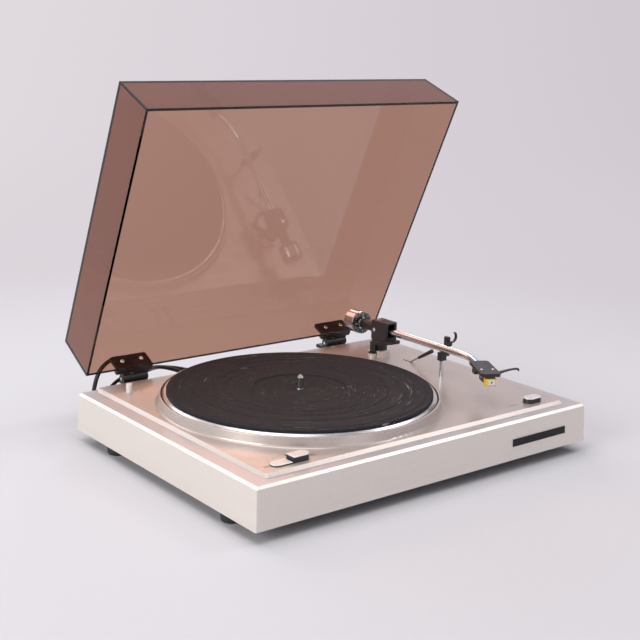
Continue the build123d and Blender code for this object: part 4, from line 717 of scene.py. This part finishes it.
def make_screws():
    base = []
    for x in (10.5, 444.2):
        for y in (10.5, 338.7):
            base.append((here(x, y, 1.0), Vector((0, 0, -1))))
    for x in (15.0, 439.7):
        for y in (62.0, 287.2):
            base.append((here(x, y, 3.5), Vector((0, 0, 1))))
    for centre in HINGE_X:
        for x in (centre - 6.5, centre + 19.5):
            base.append((here(x, 354.2, 20), Vector((0, 1, 0))))
    set_screws("base_crosshead_screws", base, (2.9, 1.8, 1.5, 10.0), "plinth", "base_screws")
    lid = [opened(here(centre + aside, 343.488, 55.2), Vector((0, -1, 0)))
           for centre in HINGE_X for aside in (-12.5, 12.5)]
    set_screws("cover_crosshead_screws", lid, (2.6, 1.2, 1.5, 5.0), "cover", "lid_screws")
    shell = [(SHELL @ Vector((x / 1000, -0.037, 0.0054)), Vector((0, 0, 1)))
             for x in (-6.35, 6.35)]
    set_screws("cartridge_crosshead_screws", shell, (2.0, 1.1, 1.0, 9.0), "arm",
               "headshell_screws")
    bpy.data.objects.remove(HEAD)
    bpy.data.objects.remove(SHAFT)


SHELL = Matrix.Translation(here(367.32, 86.01, ARM_Z)) @ Matrix.Rotation(math.radians(-30), 4, "Z")
make_screws()


# Marks, dial and stylus

def mark(name, bm, body, material):
    shape = from_bmesh(name, bm)
    shape.data.materials.append(material)
    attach(shape, body)
    return shape


def make_deck_marks():
    """The speeds beside their buttons, and a dash beside the stop button."""
    bm = bmesh.new()
    print_z = DECK + 0.01
    letters(bm, "33", 6.4, 0.03, Matrix.Translation(here(33, 31, print_z)))
    letters(bm, "45", 6.4, 0.03, Matrix.Translation(here(89.5, 33, print_z)))
    for x in (52.5, 56.5, 60.5):
        slab(bm, Matrix.Translation(here(x, 47.3, print_z)), (1.5, 0.3, 0.03))
    slab(bm, Matrix.Translation(here(66.5, 47.0, print_z)), (1.1, 0.9, 0.03))
    slab(bm, Matrix.Translation(here(371.5, 33, print_z)), (6.5, 0.35, 0.03))
    mark("deck_marks", bm, "plinth", DARK_PRINT)


def make_dial_marks():
    """Numbers for the stylus force round the dial's front face, with a tick for each quarter."""
    bm = bmesh.new()
    face = Matrix.Translation(here(PIVOT[0], DIAL_FACE_Y, ARM_Z))
    upright = Matrix.Rotation(math.pi / 2, 4, "X")
    for quarter in range(24):
        spun = face @ upright @ Matrix.Rotation(-2 * math.pi * quarter / 24, 4, "Z")
        if quarter % 6 == 0:
            place = spun @ Matrix.Translation((0, 0.0108, 0))
            letters(bm, str(quarter // 6), 5.6, 0.05, place)
        else:
            long = quarter % 3 == 0
            place = spun @ Matrix.Translation((0, 0.0118 if long else 0.0124, 0))
            slab(bm, place, (0.22, 1.5 if long else 0.9, 0.05))
    mark("dial_marks", bm, "dial", WHITE_PRINT)


def make_stylus_front():
    """The pale face of the stylus holder, with a gloss black disc as painted shade in the needle's
    opening.
    """
    bm = bmesh.new()
    face = SHELL @ Matrix.Translation((0, -0.0546, -0.0045))
    slab(bm, face @ Matrix.Translation((0.0006, 0, 0)), (3.9, 0.25, 2.9))
    bmesh.ops.bevel(bm, geom=list(bm.edges), offset=0.0002, segments=2, affect="EDGES")
    mark("stylus_face", bm, "arm", WHITE_PRINT)
    # Painted shade: a gloss black disc stands for the shade inside the needle's opening
    bm = bmesh.new()
    place = face @ Vector((0.0006, -0.0002, 0))
    turned(bm, [(0, -0.2), (0.9, -0.2), (0.9, 0.15), (0, 0.15)], place, 20,
           face.to_3x3() @ Vector((0, -1, 0)))
    mark("stylus_opening", bm, "arm", GLOSS_BLACK)


def make_finger_lift():
    """A flat finger lift that tapers out from the headshell's side to a turned-down tip."""
    bm = bmesh.new()
    lofted(bm, [(9.6, 3.4, 1.3, 0, 4.0), (11.6, 3.3, 1.3, 0, 4.1), (14.0, 2.6, 1.15, 0, 4.9),
                (18.0, 2.2, 1.0, 0, 6.1), (23.0, 2.0, 0.9, 0, 7.3), (28.0, 1.9, 0.85, 0, 8.1),
                (31.0, 1.9, 0.95, 0, 8.2), (32.4, 1.9, 1.4, 0, 7.7), (33.2, 1.8, 1.7, 0, 7.0),
                (33.7, 1.3, 1.2, 0, 6.6)], SHELL @ Matrix.Translation((0, -0.045, 0)), 20)
    lift = mark("finger_grip", bm, "arm", SHELL_BLACK)
    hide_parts("finger_lift")


def make_gimbal_cap():
    """The bearing's round cap on top of the yoke."""
    bm = bmesh.new()
    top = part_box("gimbal_yoke")[1][2]
    middle = here(*PIVOT, 0)
    turned(bm, [(0, -0.3), (4.4, -0.3), (4.4, 0.35), (4.0, 0.6), (3.2, 0.6), (3.0, 0.4), (0, 0.4)],
           Vector((middle.x, middle.y, top)), 40)
    mark("gimbal_cap", bm, "yoke", STEEL)


make_deck_marks()
make_dial_marks()
make_stylus_front()
make_finger_lift()
make_gimbal_cap()


# Leads

def coil_turns(centre, sizes, radius, layers=4, halves=4, per_half=8):
    """The turns of a coil: its loops spiral in, climb a layer and spiral out again."""
    reach, pitch, rise = sizes
    spline_gain = 1 / (0.75 + 0.25 * math.cos(math.pi / per_half))
    points = []
    for step in range(layers * halves * per_half + 1):
        half, part = divmod(step, per_half)
        part /= per_half
        ends = []
        for number in (half, half + 1):
            layer = min(number // halves, layers - 1)
            along = number - layer * halves
            inward = along if layer % 2 == 0 else halves - 1 - along
            ends.append((reach - inward * pitch / 2, layer * rise))
        away = ends[0][0] + (ends[1][0] - ends[0][0]) * part
        up = ends[0][1] + (ends[1][1] - ends[0][1]) * part
        angle = math.pi * (half + part) - math.pi / 2
        points.append((centre[0] + away * spline_gain * math.cos(angle),
                       centre[1] + away * spline_gain * math.sin(angle),
                       FLOOR + radius + up))
    return points


def lead(name, points, radius, material):
    """A lead on one smooth spline through the drawing's route."""
    curve = bpy.data.curves.new(name, "CURVE")
    curve.dimensions = "3D"
    spline = curve.splines.new("NURBS")
    spline.points.add(len(points) - 1)
    for spot, place in zip(spline.points, points):
        spot.co = (*here(*place), 1.0)
    spline.order_u = 3
    spline.use_endpoint_u = True
    spline.resolution_u = 8
    curve.bevel_depth = radius / 1000
    curve.bevel_resolution = 5
    curve.use_fill_caps = True
    curve.materials.append(material)
    return piece(name, curve)


MAINS_R = 2.5
MAINS_COIL = (112.0, 424.0)
MAINS_SIZES = (25.5, 6.4, 5.6)
MAINS_ROUTE = [
    (184, 374.2, 20), (184, 397, 20), (172.5, 413.5, 26), (153, 418.5, 33),
    (134.5, 411.5, 37.5), (119, 399, 40.5), (98, 388, 53), (80, 383, 63.5),
    (60.5, 384.5, 64.5), (45.5, 387, 51.5), (41, 390, 31.5), (41.5, 395, 12),
    (49.5, 398, -1.6), (63.4, 399, -9.4), (80, 398.5, -10.5), (97, 398.3, -10.5)]
MAINS_TAIL = [
    (128, 395.3, 6.3), (143, 398, 0.5), (160, 402, -6.5), (172, 402, -6.5), (180, 402, -6.5)]
SIGNAL_R = 2.25
SIGNAL_COIL = (275.0, 406.0)
SIGNAL_SIZES = (22.5, 5.8, 5.1)
SIGNAL_ROUTE = [
    (202, 374.2, 20), (202, 396, 20), (195, 414, 22), (178, 427, 26), (157, 428.5, 30.5),
    (139, 421, 33), (121, 409, 34.5), (103, 399, 36.5), (86, 394.5, 38.2), (70, 393.5, 33),
    (57, 391, 21), (52, 388, 5), (59, 385.5, -7), (74, 384, -10.75), (94, 385.5, -10.75),
    (128, 386, -10.75), (168, 384.5, -10.75), (208, 384.5, -10.75), (238, 383.5, -10.75),
    (262, 383.5, -10.75)]
SIGNAL_TAIL = [
    (289, 381, 4.0), (304, 383, -3.0), (322, 388, -8.0), (336, 388, -8.0), (346, 388, -8.0)]


def make_glands():
    """A flange and a tapered, ribbed sleeve where each lead leaves the plinth."""
    for name, x, radius in (("mains_gland", 184, MAINS_R), ("signal_gland", 202, SIGNAL_R)):
        bm = bmesh.new()
        turned(bm, [(0, 0.8), (6.5, 0.8), (6.5, 3.5), (6.0, 4.1), (4.4, 4.1), (4.1, 5.0),
                    (radius + 0.8, 24.6), (radius + 0.3, 25.2), (0, 25.2)],
               here(x, 349, 20), 36, (0, 1, 0))
        body = from_bmesh(name, bm)
        row = {"First place": here(x, 355.6, 20), "Count": 7, "Pitch": 0.0025,
               "First radius": 0.0049, "Last radius": (radius + 1.3) / 1000,
               "Thickness": 0.0012, "Material": LEAD_RUBBER}
        gland = grown(body, GRIP_TREE, [row], 30)
        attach(gland, "plinth")
        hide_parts("cord_glands")


def make_mains_plug():
    """A moulded body that widens from its grip, and two round pins."""
    y, z = 402.0, -6.5
    bm = bmesh.new()
    grip = [(180 + step, 5.4 + 0.35 * step - (0.7 if step % 2 else 0),
             4.2 + 0.12 * step - (0.5 if step % 2 else 0), y, z) for step in range(0, 13)]
    lofted(bm, [(179.5, 3.6, 3.2, y, z), *grip, (194, 11.4, 6.1, y, z), (198, 12.0, 6.5, y, z),
                (212.6, 12.0, 6.5, y, z), (213.6, 11.6, 6.1, y, z), (214.0, 10.6, 5.2, y, z)],
           DRAWN)
    body = mark("mains_plug_body", bm, "plinth", BLACK_PLASTIC)
    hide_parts("mains_plug")
    bm = bmesh.new()
    for pin_y in (y - 8, y + 8):
        turned(bm, [(0, -0.5), (2.0, -0.5), (2.0, 17.6), (1.4, 19.0), (0, 19.0)],
               here(214, pin_y, z), 24, (1, 0, 0))
    pins = mark("mains_plug_pins", bm, "plinth", STEEL)
    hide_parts("mains_plug")
    return [body, pins]


def make_signal_plug():
    """A moulded block with two round plugs in bright collars."""
    y, z = 388.0, -8.0
    bm = bmesh.new()
    lofted(bm, [(345.5, 4.2, 3.0, y, z), (347.5, 6.0, 3.6, y, z), (352, 11.0, 4.6, y, z),
                (356, 12.0, 5.0, y, z), (370.6, 12.0, 5.0, y, z), (371.6, 11.6, 4.7, y, z),
                (372.0, 10.8, 4.0, y, z)], DRAWN)
    body = mark("signal_plug_body", bm, "plinth", BLACK_PLASTIC)
    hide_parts("signal_plug")
    bm = bmesh.new()
    for plug_y in (y - 7, y + 7):
        turned(bm, [(0, -0.5), (3.75, -0.5), (3.75, 6.6), (3.5, 7.0), (1.6, 7.0), (1.6, 15.0),
                    (1.1, 16.0), (0, 16.0)], here(372, plug_y, z), 28, (1, 0, 0))
    contacts = mark("signal_plug_contacts", bm, "plinth", CHROME)
    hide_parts("signal_plug")
    return [body, contacts]


def tie(bm, centre, along, reach, heights, width=4.0, thickness=0.8, steps=40):
    """A flat strap round a coil's turns: along points out from the coil's middle."""
    low, high = heights
    inner, outer = reach
    side = Vector((-along[1], along[0], 0))
    rings = []
    for step in range(steps):
        angle = 2 * math.pi * step / steps
        out = math.copysign(abs(math.cos(angle)) ** 0.4, math.cos(angle))
        up = math.copysign(abs(math.sin(angle)) ** 0.4, math.sin(angle))
        ring = []
        for grow, shift in ((0, -1), (0, 1), (thickness, 1), (thickness, -1)):
            away = (inner + outer) / 2 + ((outer - inner) / 2 + grow) * out
            z = (low + high) / 2 + ((high - low) / 2 + grow) * up
            across = side * shift * width / 2
            ring.append(bm.verts.new(here(centre[0] + along[0] * away + across.x,
                                          centre[1] + along[1] * away + across.y, z)))
        rings.append(ring)
    for near, far in zip(rings, rings[1:] + rings[:1]):
        for corner in range(4):
            after = (corner + 1) % 4
            bm.faces.new((near[corner], near[after], far[after], far[corner]))


def make_tie(name, centre, reach, height, radius):
    """Two straps, at the back and at one side of a coil."""
    bm = bmesh.new()
    inner = reach[0] - radius - 0.2
    outer = reach[1] + radius + 0.2
    for along in ((0.0, 1.0), (-1.0, 0.0)):
        tie(bm, centre, along, (inner, outer), (FLOOR + 0.8, height))
    return mark(name, bm, "plinth", LEAD_RUBBER)


def make_leads():
    """Both leads with their plugs and straps; the points repeat the drawing's routes."""
    mains_tie = make_tie("mains_tie", MAINS_COIL, (15.9, 25.5), 7.6, MAINS_R)
    signal_tie = make_tie("signal_tie", SIGNAL_COIL, (13.8, 22.5), 6.2, SIGNAL_R)
    mains = lead("mains_lead",
                 MAINS_ROUTE + coil_turns(MAINS_COIL, MAINS_SIZES, MAINS_R) + MAINS_TAIL,
                 MAINS_R, LEAD_RUBBER)
    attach(mains, "plinth")
    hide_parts("mains_cord", "mains_coil")
    make_mains_plug()
    signal = lead("signal_lead",
                  SIGNAL_ROUTE + coil_turns(SIGNAL_COIL, SIGNAL_SIZES, SIGNAL_R) + SIGNAL_TAIL,
                  SIGNAL_R, LEAD_RUBBER)
    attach(signal, "plinth")
    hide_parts("signal_cord", "signal_coil")
    make_signal_plug()


make_glands()
make_leads()


# Floor, light and camera

def backdrop_paper():
    """Pale paper: diffuse round the object; further off and in gloss it glows with a painted tone,
    lighter at the left and darker at the right.
    """
    material, tree, shader = new_material("backdrop_paper")
    feed(tree, shader, {
        "Base Color": (0.635, 0.625, 0.655, 1), "Roughness": 0.9, "Specular IOR Level": 0.1})
    place = object_place(tree)
    # Painted shading: the glowing far backdrop goes from lighter at the left to darker at the
    # right
    across = vector_maths(tree, "DOT_PRODUCT", place, (0.787, -0.616, 0))["Value"]
    tone = mix_colour(tree, spread(tree, across, -1.3, 1.3), (0.745, 0.700, 0.740),
                      (0.640, 0.590, 0.635))
    painted_glow = add(tree, "ShaderNodeEmission", {"Color": tone})
    reach = vector_maths(tree, "LENGTH", place)["Value"]
    far = spread(tree, reach, 0.35, 1.25, kind="SMOOTHERSTEP")
    path = add(tree, "ShaderNodeLightPath").outputs
    seen = maths(tree, "MAXIMUM", path["Is Camera Ray"],
                 maths(tree, "MAXIMUM", path["Is Glossy Ray"], path["Is Transmission Ray"]))
    both = add(tree, "ShaderNodeMixShader", {
        "Fac": maths(tree, "MULTIPLY", seen, far), 1: shader.outputs[0], 2: painted_glow.outputs[0]})
    feed(tree, tree.nodes["Material Output"], {"Surface": both.outputs[0]})
    return material


def studio():
    """A round paper sweep: a flat floor that curves up into a wall."""
    outline = [(0, 0), (3200, 0)]
    for step in range(1, 13):
        angle = math.pi / 2 * step / 12
        outline.append((3200 + 1600 * math.sin(angle), 1600 - 1600 * math.cos(angle)))
    outline.append((4800, 5200))
    bm = bmesh.new()
    turned(bm, outline, Vector((0, 0, 0)), steps=96)
    backdrop = from_bmesh("backdrop", bm, 180)
    backdrop.data.materials.append(backdrop_paper())


def soft_box(name, place, aim, size, power, colour):
    data = bpy.data.lights.new(name, "AREA")
    data.shape = "DISK"
    data.size = size
    data.energy = power
    data.color = colour
    lamp = bpy.data.objects.new(name, data)
    lamp.location = place
    lamp.rotation_mode = "QUATERNION"
    lamp.rotation_quaternion = (Vector(aim) - Vector(place)).to_track_quat("-Z", "Y")
    SCENE.collection.objects.link(lamp)


def light():
    world = bpy.data.worlds.new("studio")
    world.use_nodes = True
    ground = world.node_tree.nodes["Background"]
    ground.inputs["Color"].default_value = (0.97, 0.96, 1.0, 1)
    ground.inputs["Strength"].default_value = 0.40
    SCENE.world = world
    soft_box("overhead", (-0.5, 0.2, 2.5), (0, 0, 0), 2.4, 32.0, (1.0, 0.99, 0.99))
    soft_box("back_box", (-0.45, 2.45, 1.85), (0, 0, 0.05), 1.7, 21.0, (1.0, 0.99, 0.99))
    soft_box("streak_box", (1.2, 1.95, 1.45), (0.1, 0, 0.05), 0.8, 8.0, (1.0, 1.0, 1.0))
    soft_box("right_box", (1.75, -0.7, 2.1), (0, 0, 0.05), 1.3, 14.5, (1.0, 0.99, 1.0))
    soft_box("left_window", (-2.6, -0.4, 1.0), (0, 0, 0.05), 1.7, 44.0, (1.0, 0.98, 0.95))
    soft_box("front_fill", (0.3, -2.8, 0.8), (0, 0, 0.1), 1.6, 7.0, (1.0, 0.98, 1.0))


def camera():
    data = bpy.data.cameras.new("camera")
    data.sensor_width = 36.0
    data.lens = 67.455
    data.shift_x = -0.00016
    data.shift_y = -0.00227
    data.clip_start = 0.05
    data.clip_end = 60.0
    eye = bpy.data.objects.new("camera", data)
    right = Vector((0.7871037, -0.6163051, 0.0252148))
    up = Vector((0.1258860, 0.2005228, 0.9715675))
    forward = Vector((0.6038381, 0.7615502, -0.2354164))
    turn = Matrix((right, up, -forward)).transposed()
    eye.matrix_world = Matrix.Translation(here(-590.6824, -830.9704, 449.4129)) @ turn.to_4x4()
    SCENE.collection.objects.link(eye)
    SCENE.camera = eye


studio()
light()
camera()
SCENE.view_settings.view_transform = "Standard"
